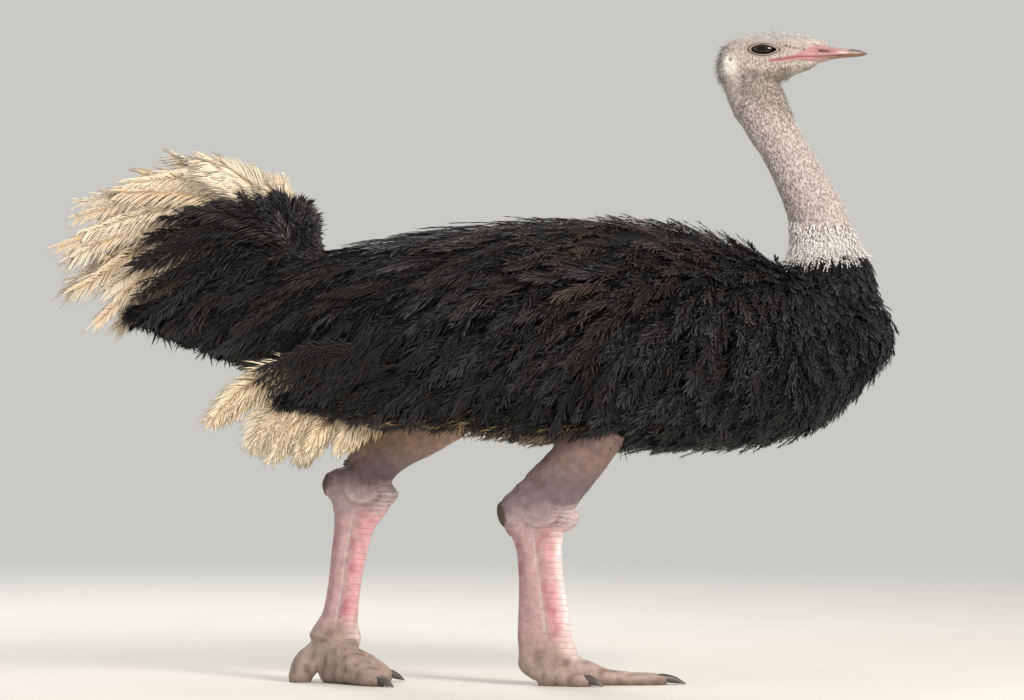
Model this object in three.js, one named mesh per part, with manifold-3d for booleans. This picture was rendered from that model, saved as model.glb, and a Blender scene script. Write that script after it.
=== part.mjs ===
// An ostrich cock standing in mid-stride, head up, tail plumes raised, at life size in millimetres.
// The bird faces +X, its left side is +Y, and the soles stand on z = 0.
import * as THREE from 'three';
import { mergeVertices } from 'three/addons/utils/BufferGeometryUtils.js';
import Module from 'manifold-3d';

const wasm = await Module();
wasm.setup();

// Driving dimensions.
const gap = 0.3; // clear space between pieces that meet
const rumpEnd = -406; // where the trunk passes into the rump and tail coverts
const bodyPower = 2.2; // roundness of the body's section: 2 is an ellipse, more is squarer
const toePower = 2.7;
const tailRoot = { x: -584, z: 1389 }; // the point that the raised tail fans out from
const tailCore = 16; // radius of the bare middle that the fans turn about
const plumeScallop = 0.035; // depth of the notches between plume tips, as a share of their length
const eye = { x: 943, y: 37, z: 2052, long: 41, deep: 24, tall: 22 };
const frontFoot = { x: 150, y: -52, heading: 4 };
const rearFoot = { x: -432, y: 72, heading: -52 };
const frontSmallToe = { x: 232, y: -72, heading: -21 };
const rearSmallToe = { x: -392, y: 96, heading: 20 };
const wingLining = 34; // how deep a wing starts inside the body before it is cut to it
const wingSlack = 1.2; // clear space between the wing and the plumes below it

const black = { color: 0x17120f, roughness: 0.85, metalness: 0 };
const white = { color: 0xe6dccb, roughness: 0.8, metalness: 0 };
const neckSkin = { color: 0xa8938c, roughness: 0.7, metalness: 0 };
const headSkin = { color: 0xb3a08e, roughness: 0.7, metalness: 0 };
const thighSkin = { color: 0xb7958a, roughness: 0.6, metalness: 0 };
const shinSkin = { color: 0xc8837e, roughness: 0.5, metalness: 0 };
const footSkin = { color: 0x9a8577, roughness: 0.6, metalness: 0 };
const bill = { color: 0xcf7f74, roughness: 0.4, metalness: 0 };
const horn = { color: 0x45403c, roughness: 0.45, metalness: 0 };
const eyeball = { color: 0x20140d, roughness: 0.05, metalness: 0 };

// Body sections from the rear: x, top, bottom, half width.
const bodyRows = [
  [-1085, 1222, 1196, 22],
  [-1000, 1262, 1142, 82],
  [-860, 1300, 1090, 124],
  [-720, 1340, 1036, 163],
  [-580, 1384, 978, 199],
  [-406, 1424, 918, 242],
  [-228, 1460, 862, 282],
  [0, 1497, 817, 316],
  [354, 1518, 773, 330],
  [620, 1497, 757, 324],
  [820, 1452, 763, 305],
  [1000, 1364, 790, 278],
  [1130, 1292, 838, 244],
  [1240, 1262, 926, 196],
  [1318, 1240, 1022, 136],
  [1368, 1178, 1108, 36],
];

// Neck path from inside the breast up into the head: step, x, z, fore-and-aft radius, side radius.
const neckRows = [
  [0, 1100, 1065, 190, 184],
  [1, 1138, 1205, 182, 160],
  [2, 1158, 1306, 156, 120],
  [3, 1148, 1382, 127, 96],
  [4, 1135, 1447, 107, 80],
  [5, 1111, 1534, 95, 72],
  [6, 1066, 1631, 84, 65],
  [7, 1014, 1728, 79, 61],
  [8, 963, 1815, 83, 62],
  [9, 916, 1906, 92, 63],
  [10, 884, 1975, 80, 56],
];

// Head sections: x, top, bottom, half width.
const headRows = [
  [800, 2018, 1972, 14],
  [815, 2056, 1930, 36],
  [840, 2077, 1912, 48],
  [880, 2089, 1912, 55],
  [940, 2099, 1926, 57],
  [1000, 2101, 1950, 53],
  [1060, 2097, 1974, 47],
  [1110, 2086, 1994, 43],
  [1152, 2070, 2010, 40],
];

// Bill sections, both halves together: x, top, bottom, half width.
const billRows = [
  [1080, 2064, 1998, 36],
  [1130, 2071, 2005, 39],
  [1165, 2062, 2013, 36],
  [1200, 2056, 2019, 31],
  [1240, 2051, 2025, 24],
  [1264, 2046, 2030, 16],
  [1277, 2040, 2035, 5],
];
const gape = { x: 1276, z: 2036, slope: 2.4 }; // where the halves meet at the tip, and the line's rise

// Wing outline along the flank: x, upper edge, lower edge, thickness.
const wingRows = [
  [-612, 958, 918, 8],
  [-454, 1112, 872, 32],
  [-228, 1246, 838, 42],
  [31, 1338, 814, 46],
  [419, 1374, 810, 46],
  [700, 1366, 880, 42],
  [840, 1310, 1000, 30],
  [905, 1230, 1120, 6],
];

// White plumes under the wing, each a path: step, x, y, z, in-plane radius, side radius.
const wingPlumes = [
  [
    [0, -470, 118, 985, 62, 26],
    [1, -620, 136, 1002, 60, 28],
    [2, -756, 160, 966, 58, 28],
    [3, -836, 174, 900, 42, 22],
    [4, -850, 176, 856, 12, 8],
  ],
  [
    [0, -450, 118, 950, 60, 26],
    [1, -596, 136, 915, 70, 30],
    [2, -676, 160, 848, 66, 30],
    [3, -698, 174, 784, 50, 24],
    [4, -696, 176, 744, 14, 8],
  ],
  [
    [0, -330, 118, 930, 60, 26],
    [1, -440, 136, 890, 84, 32],
    [2, -526, 158, 822, 92, 32],
    [3, -556, 172, 754, 74, 26],
    [4, -560, 176, 706, 22, 10],
  ],
  [
    [0, -290, 118, 930, 44, 24],
    [1, -336, 132, 890, 58, 28],
    [2, -374, 148, 842, 64, 30],
    [3, -404, 164, 784, 52, 24],
    [4, -418, 170, 736, 14, 8],
  ],
];

// Tail fans about its root. Rows: angle in degrees above +X, radius. Lens: share of it, half width.
const blackTail = {
  rows: [[24, 112], [60, 146], [82, 186], [98, 236], [112, 252], [128, 272], [146, 344],
    [165, 452], [175, 512], [186, 584], [198, 586], [207, 520], [218, 440], [232, 400]],
  lens: [[0, 100], [0.3, 156], [0.86, 136], [1, 40]],
};
const whiteTail = {
  rows: [[97, 246], [104, 280], [111, 306], [118, 362], [128, 418], [138, 500], [147, 556],
    [153, 622], [160, 700], [168, 762], [179, 795], [187, 758], [194, 704], [201, 610]],
  lens: [[0, 60], [0.5, 122], [0.84, 96], [1, 20]],
};

// Leg paths from the body down: step, x, y, z, fore-and-aft radius, side radius.
const frontLeg = {
  shank: [
    [0, 425, -160, 858, 108, 94],
    [1, 399, -154, 823, 99, 88],
    [2, 336, -140, 719, 88, 70],
    [3, 288, -126, 661, 90, 61],
    [4, 246, -112, 612, 98, 56],
  ],
  hock: [
    [0, 254, -116, 632, 84, 54],
    [1, 226, -109, 588, 116, 54],
    [2, 217, -102, 548, 129, 52],
    [3, 215, -97, 516, 108, 48],
    [4, 217, -95, 488, 87, 44],
  ],
  tarsus: [
    [0, 217, -95, 494, 86, 44],
    [1, 222, -88, 435, 73, 40],
    [2, 228, -78, 340, 72, 38],
    [3, 234, -70, 260, 79, 39],
    [4, 239, -63, 180, 87, 42],
    [5, 247, -58, 125, 95, 47],
    [6, 262, -54, 84, 104, 50],
  ],
};
const rearLeg = {
  shank: [
    [0, -84, 168, 890, 112, 94],
    [1, -146, 160, 838, 100, 88],
    [2, -262, 144, 756, 80, 70],
    [3, -318, 132, 706, 84, 61],
    [4, -346, 120, 664, 96, 56],
  ],
  hock: [
    [0, -340, 122, 682, 84, 54],
    [1, -352, 114, 648, 118, 54],
    [2, -357, 109, 616, 121, 53],
    [3, -362, 104, 576, 96, 49],
    [4, -371, 100, 536, 76, 44],
  ],
  tarsus: [
    [0, -371, 100, 540, 75, 44],
    [1, -382, 98, 490, 63, 40],
    [2, -398, 94, 400, 56, 37],
    [3, -412, 88, 300, 53, 37],
    [4, -422, 82, 225, 59, 40],
    [5, -430, 78, 172, 82, 48],
    [6, -437, 76, 132, 96, 54],
  ],
};

// Toe sections along the toe from its heel: distance, top, bottom, half width.
const largeToeRows = [
  [0, 84, 58, 20],
  [26, 120, 30, 42],
  [80, 136, 4, 52],
  [150, 128, -6, 51],
  [215, 92, -6, 45],
  [280, 56, -6, 41],
  [370, 40, -6, 39],
  [440, 37, -6, 37],
  [484, 24, 1, 22],
];
const rearToeRows = [
  [-70, 146, 40, 30],
  [-40, 152, -6, 52],
  [0, 152, -6, 58],
  [70, 120, -6, 51],
  [140, 76, -6, 45],
  [200, 48, -6, 41],
  [236, 27, 1, 25],
];
const smallToeRows = [
  [-10, 74, -6, 18],
  [30, 66, -6, 26],
  [90, 50, -6, 25],
  [140, 38, -6, 21],
  [162, 24, 1, 12],
];
const rearSmallToeRows = [
  [-10, 128, -6, 24],
  [40, 108, -6, 29],
  [90, 76, -6, 26],
  [122, 54, -6, 22],
  [140, 36, 1, 13],
];
const largeClawRows = [
  [-52, 30, 12, 14],
  [-12, 35, 7, 18],
  [28, 26, 3, 13],
  [62, 6, 1, 3],
];
const smallClawRows = [
  [-24, 36, 16, 8],
  [0, 38, 10, 12],
  [26, 25, 4, 9],
  [46, 6, 1, 2],
];
// The horny cushion that the rear foot rolls off: step, x, y, z, in-plane radius, side radius.
const heelRows = [
  [0, -432, 84, 142, 42, 42],
  [1, -488, 91, 104, 47, 46],
  [2, -530, 97, 62, 46, 45],
  [3, -550, 100, 26, 40, 40],
  [4, -556, 101, -6, 34, 36],
];

// Values between the rows of a table whose first column rises, on smooth curves through the rows.
function between(rows, at) {
  let low = 0;
  while (low < rows.length - 2 && at > rows[low + 1][0]) {
    low += 1;
  }
  const span = rows[low + 1][0] - rows[low][0];
  const s = THREE.MathUtils.clamp((at - rows[low][0]) / span, 0, 1);
  return rows[low].map((value, column) => {
    const next = rows[low + 1][column];
    const leave = slopeAt(rows, low, column) * span;
    const arrive = slopeAt(rows, low + 1, column) * span;
    const bend = s * s * (3 - 2 * s);
    return value + (next - value) * bend + leave * s * (1 - s) ** 2 - arrive * s * s * (1 - s);
  });
}

function slopeAt(rows, index, column) {
  const before = rows[Math.max(index - 1, 0)];
  const after = rows[Math.min(index + 1, rows.length - 1)];
  return (after[column] - before[column]) / (after[0] - before[0]);
}

// Shares from 0 to 1 that stand closer together towards both ends.
function crowded(share, crowding) {
  return THREE.MathUtils.lerp(share, (1 - Math.cos(Math.PI * share)) / 2, crowding);
}

// Evenly spaced numbers from one end to the other, both ends included.
function steps(from, to, count) {
  return Array.from({ length: count + 1 }, (_, i) => from + ((to - from) * i) / count);
}

// The closed body inside a stack of rings that all turn the same way, flat at both ends.
function bodyOfRings(rings) {
  const points = rings.flat();
  const sides = rings[0].length;
  const faces = [];
  for (let ring = 0; ring < rings.length - 1; ring += 1) {
    for (let side = 0; side < sides; side += 1) {
      const here = ring * sides + side;
      const beside = ring * sides + ((side + 1) % sides);
      faces.push(here, beside, beside + sides);
      faces.push(here, beside + sides, here + sides);
    }
  }
  const lastRing = (rings.length - 1) * sides;
  points.push(middleOf(rings[0]), middleOf(rings.at(-1)));
  for (let side = 0; side < sides; side += 1) {
    const next = (side + 1) % sides;
    faces.push(points.length - 2, next, side);
    faces.push(points.length - 1, lastRing + side, lastRing + next);
  }
  const geometry = new THREE.BufferGeometry().setFromPoints(points);
  geometry.setIndex(faces);
  return geometry;
}

function middleOf(ring) {
  const sum = ring.reduce((total, point) => total.add(point), new THREE.Vector3());
  return sum.divideScalar(ring.length);
}

// Cosine or sine pulled out towards a rounded square.
function squared(value, power) {
  return Math.sign(value) * Math.abs(value) ** (2 / power);
}

// A body of upright sections across X, from rows of x, top, bottom and half width.
function alongX(rows, {
  from = rows[0][0], to = rows.at(-1)[0], rings, sides, power = 2, grow = 0, crowding = 0.7,
}) {
  return bodyOfRings(steps(0, 1, rings).map((share, index) => {
    const at = THREE.MathUtils.lerp(from, to, crowded(share, crowding));
    const [, top, bottom, half] = between(rows, at);
    const endShift = index === 0 ? -grow : index === rings ? grow : 0;
    const rise = (top - bottom) / 2 + grow;
    return steps(0, 2 * Math.PI, sides).slice(1).map((angle) => new THREE.Vector3(
      at + endShift,
      (half + grow) * squared(Math.cos(angle), power),
      (top + bottom) / 2 + rise * squared(Math.sin(angle), power),
    ));
  }));
}

// A body of sections square to a path, from rows of step, x, y, z, in-plane radius and side radius.
function alongPath(rows, { from = rows[0][0], to = rows.at(-1)[0], rings, sides, grow = 0 }) {
  const nudge = 0.01;
  return bodyOfRings(steps(from, to, rings).map((at, index) => {
    const [, x, y, z, deep, wide] = between(rows, at);
    const ahead = new THREE.Vector3(...between(rows, at + nudge).slice(1, 4));
    const behind = new THREE.Vector3(...between(rows, at - nudge).slice(1, 4));
    const forward = ahead.sub(behind).normalize();
    const aside = new THREE.Vector3(0, 1, 0);
    aside.addScaledVector(forward, -aside.dot(forward)).normalize();
    const upward = new THREE.Vector3().crossVectors(forward, aside);
    const endShift = index === 0 ? -grow : index === rings ? grow : 0;
    return steps(0, 2 * Math.PI, sides).slice(1).map((angle) => new THREE.Vector3(x, y, z)
      .addScaledVector(forward, endShift)
      .addScaledVector(aside, (wide + grow) * Math.cos(angle))
      .addScaledVector(upward, (deep + grow) * Math.sin(angle)));
  }));
}

// A fan of plumes about the tail root: lens-shaped sections in planes that turn about Y.
function fan({ rows, lens }, { rings, plumes, grow = 0 }) {
  return bodyOfRings(steps(rows[0][0], rows.at(-1)[0], rings).map((at, index) => {
    const notch = 1 - plumeScallop * Math.abs(Math.cos((Math.PI * plumes * index) / rings));
    const reach = between(rows, at)[1] * notch + grow;
    const start = tailCore - grow;
    const turn = THREE.MathUtils.degToRad(at);
    const front = lens.map(([share, half]) => [start + (reach - start) * share, half + grow]);
    const back = front.map(([radius, half]) => [radius, -half]).reverse();
    return [...front, ...back].reverse().map(([radius, side]) => new THREE.Vector3(
      tailRoot.x + radius * Math.cos(turn),
      side,
      tailRoot.z + radius * Math.sin(turn),
    ));
  }));
}

// Half width of the body's side at a place, kept clear of the belly's and the back's middle.
function flankAt(x, z) {
  const [, top, bottom, half] = between(bodyRows, x);
  const share = THREE.MathUtils.clamp((2 * z - top - bottom) / (top - bottom), -0.72, 0.9);
  return half * (1 - Math.abs(share) ** bodyPower) ** (1 / bodyPower);
}

// A wing folded on the left flank: a shallow swelling over the body's side with a thin rim.
function wingShape(grow = 0) {
  const rings = 12;
  const rim = 8;
  return bodyOfRings(steps(0, 1, rings).map((share, index) => {
    const at = THREE.MathUtils.lerp(wingRows[0][0], wingRows.at(-1)[0], crowded(share, 0.6));
    const [, upper, lower, thick] = between(wingRows, at);
    const endShift = index === 0 ? -grow : index === rings ? grow : 0;
    const edges = [-0.97, -0.7, -0.25, 0.25, 0.7, 0.97];
    const outer = edges.map((height) => {
      const z = (upper + lower) / 2 + height * ((upper - lower) / 2 + grow);
      const swell = rim + thick * (1 - height ** 2) ** 0.7 + grow;
      return new THREE.Vector3(at + endShift, flankAt(at, z) + swell, z);
    });
    const inner = [0.8, -0.8].map((height) => {
      const z = (upper + lower) / 2 + height * ((upper - lower) / 2 + grow);
      return new THREE.Vector3(at + endShift, flankAt(at, z) - wingLining - grow, z);
    });
    return [...outer, ...inner];
  }));
}

// A closed geometry as a solid that can be cut and joined.
function solidOf(geometry) {
  const bare = geometry.clone();
  bare.deleteAttribute('normal');
  bare.deleteAttribute('uv');
  const merged = mergeVertices(bare, 1e-3);
  const solid = new wasm.Manifold(new wasm.Mesh({
    numProp: 3,
    vertProperties: merged.attributes.position.array,
    triVerts: new Uint32Array(merged.index.array),
  }));
  return solid;
}

function meshOf(name, solid, finish) {
  const { vertProperties, triVerts } = solid.getMesh();
  const geometry = new THREE.BufferGeometry();
  geometry.setAttribute('position', new THREE.BufferAttribute(vertProperties, 3));
  geometry.setIndex(new THREE.BufferAttribute(triVerts, 1));
  geometry.computeVertexNormals();
  const mesh = new THREE.Mesh(geometry, new THREE.MeshStandardMaterial(finish));
  mesh.name = name;
  return mesh;
}

// A piece less the neighbours that it meets, without the slivers that a cut leaves beside it.
function cutBy(solid, ...neighbours) {
  const left = neighbours.reduce((rest, neighbour) => rest.subtract(neighbour), solid);
  return left.decompose().reduce((best, body) => (body.volume() > best.volume() ? body : best));
}

function joined(solids) {
  return solids.reduce((sum, solid) => sum.add(solid));
}

// A foot piece set on its place and turned to its heading.
function placed(geometry, { x, y, heading }) {
  return geometry.clone().rotateZ(THREE.MathUtils.degToRad(heading)).translate(x, y, 0);
}

const ostrich = new THREE.Group();

// Everything below the soles.
const floor = solidOf(new THREE.BoxGeometry(4000, 2000, 200).translate(0, 0, -100));

const makeTrunk = (grow) => solidOf(alongX(bodyRows, {
  from: rumpEnd + gap, rings: 16, sides: 20, power: bodyPower, grow,
}));
const makeRump = (grow) => solidOf(alongX(bodyRows, {
  to: rumpEnd, rings: 6, sides: 16, power: bodyPower, crowding: 0, grow,
}));
const trunkCut = makeTrunk(gap);
const rumpCut = makeRump(gap);
ostrich.add(meshOf('trunk', makeTrunk(0), black));
ostrich.add(meshOf('rump', makeRump(0), black));

// The head with its bill and eyes set into it.
const makeHead = (grow) => solidOf(alongX(headRows, { rings: 10, sides: 16, power: 2.15, grow }));
const makeBill = (grow) => solidOf(alongX(billRows, {
  rings: 7, sides: 12, power: 2.4, crowding: 0.4, grow,
}));
const makeEye = (side, grow) => solidOf(new THREE.SphereGeometry(1, 12, 6)
  .scale(eye.long + grow, eye.deep + grow, eye.tall + grow)
  .translate(eye.x, side * eye.y, eye.z));
const halfSpace = (rise) => solidOf(new THREE.BoxGeometry(600, 200, 100)
  .translate(0, 0, rise)
  .rotateY(THREE.MathUtils.degToRad(-gape.slope))
  .translate(gape.x, 0, gape.z));

ostrich.add(meshOf('head', cutBy(
  makeHead(0), makeBill(gap), makeEye(1, gap), makeEye(-1, gap),
), headSkin));
ostrich.add(meshOf('bill_upper', cutBy(makeBill(0), halfSpace(gap / 2 - 50)), bill));
ostrich.add(meshOf('bill_lower', cutBy(makeBill(0), halfSpace(50 - gap / 2)), bill));
ostrich.add(meshOf('eye_left', makeEye(1, 0), eyeball));
ostrich.add(meshOf('eye_right', makeEye(-1, 0), eyeball));

// The neck in four lengths on one path.
const neckPath = neckRows.map(([step, x, z, deep, wide]) => [step, x, 0, z, deep, wide]);
const neckPieces = [
  { name: 'neck_base', from: 0, to: 3, rings: 5, sides: 16, finish: black, neighbour: trunkCut },
  { name: 'neck_lower', from: 3, to: 5, rings: 3, sides: 14, finish: neckSkin, neighbour: trunkCut },
  { name: 'neck_middle', from: 5, to: 7, rings: 3, sides: 14, finish: neckSkin, neighbour: trunkCut },
  { name: 'neck_upper', from: 7, to: 10, rings: 5, sides: 14, finish: neckSkin, neighbour: makeHead(gap) },
];
const endTrim = 0.003; // share of a neck step that parts one length from the next
for (const { name, from, to, rings, sides, finish, neighbour } of neckPieces) {
  const length = solidOf(alongPath(neckPath, { from: from + endTrim, to: to - endTrim, rings, sides }));
  ostrich.add(meshOf(name, cutBy(length, neighbour), finish));
}

// Legs, each a chain of pieces cut to the one that they meet.
const legs = [
  {
    side: 'right', path: frontLeg,
    foot: frontFoot, toeRows: largeToeRows, clawAt: 484,
    small: frontSmallToe, smallRows: smallToeRows, smallClawAt: 162,
  },
  {
    side: 'left', path: rearLeg,
    foot: rearFoot, toeRows: rearToeRows, clawAt: 236,
    small: rearSmallToe, smallRows: rearSmallToeRows, smallClawAt: 140,
  },
];
const shankCuts = [];
for (const { side, path, foot, toeRows, clawAt, small, smallRows, smallClawAt } of legs) {
  const limb = (rows, rings, grow) => solidOf(alongPath(rows, { rings, sides: 12, grow }));
  const toe = (rows, place, rings, grow) => solidOf(placed(
    alongX(rows, { rings, sides: 12, power: toePower, grow }), place,
  ));
  const claw = (rows, at, place, grow) => solidOf(placed(
    alongX(rows, { rings: 4, sides: 8, grow }).translate(at, 0, 0), place,
  ));
  const hockCut = limb(path.hock, 6, gap);
  const tarsusCut = limb(path.tarsus, 7, gap);
  const largeClaw = (grow) => claw(largeClawRows, clawAt, foot, grow);
  const smallClaw = (grow) => claw(smallClawRows, smallClawAt, small, grow);
  shankCuts.push(limb(path.shank, 5, gap));
  ostrich.add(meshOf(`shank_${side}`, cutBy(limb(path.shank, 5, 0), trunkCut, hockCut), thighSkin));
  ostrich.add(meshOf(`hock_${side}`, limb(path.hock, 6, 0), thighSkin));
  ostrich.add(meshOf(`tarsus_${side}`, cutBy(limb(path.tarsus, 7, 0), hockCut), shinSkin));
  ostrich.add(meshOf(`toe_large_${side}`, cutBy(
    toe(toeRows, foot, 8, 0), tarsusCut, largeClaw(gap), floor,
  ), footSkin));
  ostrich.add(meshOf(`toe_small_${side}`, cutBy(
    toe(smallRows, small, 5, 0), tarsusCut, toe(toeRows, foot, 8, gap), smallClaw(gap), floor,
  ), footSkin));
  ostrich.add(meshOf(`claw_large_${side}`, cutBy(largeClaw(0), floor), horn));
  ostrich.add(meshOf(`claw_small_${side}`, cutBy(smallClaw(0), floor), horn));
  if (side === 'left') {
    const heel = limb(heelRows, 5, 0);
    const besides = [tarsusCut, toe(toeRows, foot, 8, gap), toe(smallRows, small, 5, gap)];
    ostrich.add(meshOf('heel_left', cutBy(heel, ...besides, floor), footSkin));
  }
}

// The tail: white plumes fanned out beyond the black ones.
const tailCovert = (grow) => solidOf(new THREE.SphereGeometry(1, 10, 6)
  .scale(112 + grow, 126 + grow, 96 + grow)
  .translate(tailRoot.x, 0, tailRoot.z));
const blackFan = (grow) => solidOf(fan(blackTail, { rings: 16, plumes: 8, grow }));
const makeTail = (grow) => joined([blackFan(grow), tailCovert(grow)]);
const whiteFan = solidOf(fan(whiteTail, { rings: 20, plumes: 10 }));
ostrich.add(meshOf('tail', cutBy(makeTail(0), rumpCut, trunkCut), black));
ostrich.add(meshOf('tail_plumes', cutBy(whiteFan, rumpCut, trunkCut, makeTail(gap)), white));

// The wings and the white plumes below them: shaped for the left, mirrored for the right.
const wing = solidOf(wingShape());
const wingCut = solidOf(wingShape(wingSlack));
const plumes = joined(wingPlumes.map((rows) => solidOf(alongPath(rows, { rings: 4, sides: 6 }))));
const wingSides = [
  { side: 'left', place: (solid) => solid },
  { side: 'right', place: (solid) => solid.mirror([0, 1, 0]) },
];
for (const { side, place } of wingSides) {
  const body = [trunkCut, rumpCut, ...shankCuts];
  ostrich.add(meshOf(`wing_${side}`, cutBy(place(wing), ...body), black));
  ostrich.add(meshOf(`wing_plumes_${side}`, cutBy(
    place(plumes), place(wingCut), ...body,
  ), white));
}

export default ostrich;
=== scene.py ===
import math
from functools import partial

import bpy
import numpy as np
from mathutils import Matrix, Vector
from mathutils.bvhtree import BVHTree


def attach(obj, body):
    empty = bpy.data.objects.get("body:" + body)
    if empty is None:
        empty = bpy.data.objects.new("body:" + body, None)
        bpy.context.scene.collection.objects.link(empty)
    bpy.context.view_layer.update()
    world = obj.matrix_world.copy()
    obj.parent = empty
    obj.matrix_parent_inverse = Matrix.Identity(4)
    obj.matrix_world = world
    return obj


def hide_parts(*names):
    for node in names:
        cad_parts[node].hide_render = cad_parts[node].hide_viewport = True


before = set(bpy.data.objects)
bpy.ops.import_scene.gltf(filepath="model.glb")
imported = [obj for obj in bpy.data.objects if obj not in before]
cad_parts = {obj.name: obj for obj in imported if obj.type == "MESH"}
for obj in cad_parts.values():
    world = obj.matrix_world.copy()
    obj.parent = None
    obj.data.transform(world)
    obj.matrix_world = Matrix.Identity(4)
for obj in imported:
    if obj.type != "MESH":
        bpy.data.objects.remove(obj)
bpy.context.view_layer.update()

# An ostrich cock standing in mid-stride, at life size. It faces +X and its left side is +Y.
# Sizes in tables are millimetres; meshes are metres.
mm = 0.001
collection = bpy.context.scene.collection


def report(stage):
    print("ostrich:", stage, flush=True)


def hexColour(code):
    # sRGB hex digits to linear red, green, blue and alpha
    parts = [int(code[i:i + 2], 16) / 255 for i in (0, 2, 4)]
    return [p / 12.92 if p <= 0.04045 else ((p + 0.055) / 1.055) ** 2.4 for p in parts] + [1.0]


def linear(code):
    return np.array(hexColour(code)[:3])


def shaded(first, second, share):
    # the way from the first colours to the second
    return first + (second - first) * np.asarray(share)[..., None]


def painted(ground, tints, layers, count):
    # lays named tints over a ground, each with its weights
    colours = np.tile(linear(tints[ground]), (count, 1))
    for name, weight in layers:
        colours = shaded(colours, linear(tints[name]), weight)
    return colours


def addNode(tree, kind, inputs=None, **settings):
    # adds a node with its settings; an input is a value, a socket, or a node, for its first open output
    node = tree.nodes.new(kind)
    for key, value in settings.items():
        setattr(node, key, value)
    for key, value in (inputs or {}).items():
        if isinstance(value, bpy.types.Node):
            value = next(socket for socket in value.outputs if socket.enabled)
        if isinstance(value, bpy.types.NodeSocket):
            tree.links.new(value, node.inputs[key])
        else:
            node.inputs[key].default_value = value
    return node


def newFinish(name):
    # an empty material, and addNode for its tree
    finish = bpy.data.materials.new(name)
    finish.use_nodes = True
    finish.node_tree.nodes.clear()
    return finish, partial(addNode, finish.node_tree)


def setStops(ramp, stops):
    elements = ramp.color_ramp.elements
    while len(elements) < len(stops):
        elements.new(0.5)
    for element, (at, code) in zip(elements, stops):
        element.position = at
        element.color = hexColour(code)


def unit(vectors):
    return vectors / np.maximum(np.linalg.norm(vectors, axis=-1, keepdims=True), 1e-9)


def eased(value, low, high):
    # rises smoothly from 0 at low to 1 at high
    s = np.clip((value - low) / (high - low), 0, 1)
    return s * s * (3 - 2 * s)


def within(value, low, full, fading, high):
    # rises from low to full, and falls again from fading to high
    return eased(value, low, full) * (1 - eased(value, fading, high))


def bell(value, width, power=2):
    # 1 where the value is 0, falling away on both sides
    return np.exp(-(value / width) ** power)


def between(rows, places):
    # values along a table whose first column rises, on smooth curves through its rows
    rows = np.asarray(rows, float)
    places = np.atleast_1d(np.asarray(places, float))
    keys = rows[:, 0]
    index = np.arange(len(keys))
    before = np.maximum(index - 1, 0)
    after = np.minimum(index + 1, len(keys) - 1)
    slope = (rows[after] - rows[before]) / (keys[after] - keys[before])[:, None]
    low = np.clip(np.searchsorted(keys, places, side="right") - 1, 0, len(keys) - 2)
    span = (keys[low + 1] - keys[low])[:, None]
    s = np.clip((places - keys[low])[:, None] / span, 0, 1)
    bend = s * s * (3 - 2 * s)
    leave = slope[low] * span * s * (1 - s) ** 2
    arrive = slope[low + 1] * span * s * s * (1 - s)
    return rows[low] + (rows[low + 1] - rows[low]) * bend + leave - arrive


def squared(value, power):
    return np.sign(value) * np.abs(value) ** (2 / power)


def ringsAlongX(rows, places, sides, power=2.0, inset=0.0):
    # upright sections from rows of x, top, bottom and half width
    x, top, bottom, half = between(rows, places).T[:, :, None]
    angle = np.arange(1, sides + 1) * 2 * math.pi / sides
    y = np.maximum(half - inset, 3) * squared(np.cos(angle), power)
    z = (top + bottom) / 2 + np.maximum((top - bottom) / 2 - inset, 3) * squared(np.sin(angle), power)
    return np.stack([x + 0 * y, y, z], axis=2) * mm


def ringsAlongPath(rows, places, sides, inset=0.0):
    # sections square to a path, from rows of step, x, y, z, in-plane radius and side radius
    places = np.asarray(places, float)
    row = between(rows, places)
    forward = unit(between(rows, places + 0.01)[:, 1:4] - between(rows, places - 0.01)[:, 1:4])
    aside = unit(np.array([0, 1, 0]) - forward * forward[:, 1:2])
    upward = np.cross(forward, aside)
    angle = (np.arange(1, sides + 1) * 2 * math.pi / sides)[None, :, None]
    inset = np.broadcast_to(np.asarray(inset, float), places.shape)
    deep = np.maximum(row[:, 4] - inset, 3)[:, None, None]
    wide = np.maximum(row[:, 5] - inset, 3)[:, None, None]
    rings = row[:, None, 1:4] + aside[:, None] * wide * np.cos(angle)
    return (rings + upward[:, None] * deep * np.sin(angle)) * mm


def domed(rings, height, count=4):
    # rounds off both ends of a stack of rings
    ends = []
    for end, beside in ((0, 1), (-1, -2)):
        middle = rings[end].mean(axis=0)
        outward = unit(middle - rings[beside].mean(axis=0))
        turns = np.linspace(0, math.pi / 2, count + 2)[1:-1, None, None]
        ends.append(middle + (rings[end] - middle) * np.cos(turns) + outward * height * mm * np.sin(turns))
    return np.concatenate([ends[0][::-1], rings, ends[1]])


def closedTube(rings):
    # points and faces of the closed body inside a stack of rings
    count, sides = rings.shape[:2]
    here = np.arange((count - 1) * sides).reshape(count - 1, sides)
    beside = np.roll(here, -1, axis=1)
    quads = np.stack([here, beside, beside + sides, here + sides], axis=2).reshape(-1, 4)
    points = np.concatenate([rings.reshape(-1, 3), rings[:1].mean(axis=1), rings[-1:].mean(axis=1)])
    rim = np.arange(sides)
    following = np.roll(rim, -1)
    last = (count - 1) * sides
    first = np.stack([np.full(sides, count * sides), following, rim], axis=1)
    final = np.stack([np.full(sides, count * sides + 1), last + rim, last + following], axis=1)
    return points, [quads, np.concatenate([first, final])]


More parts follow.
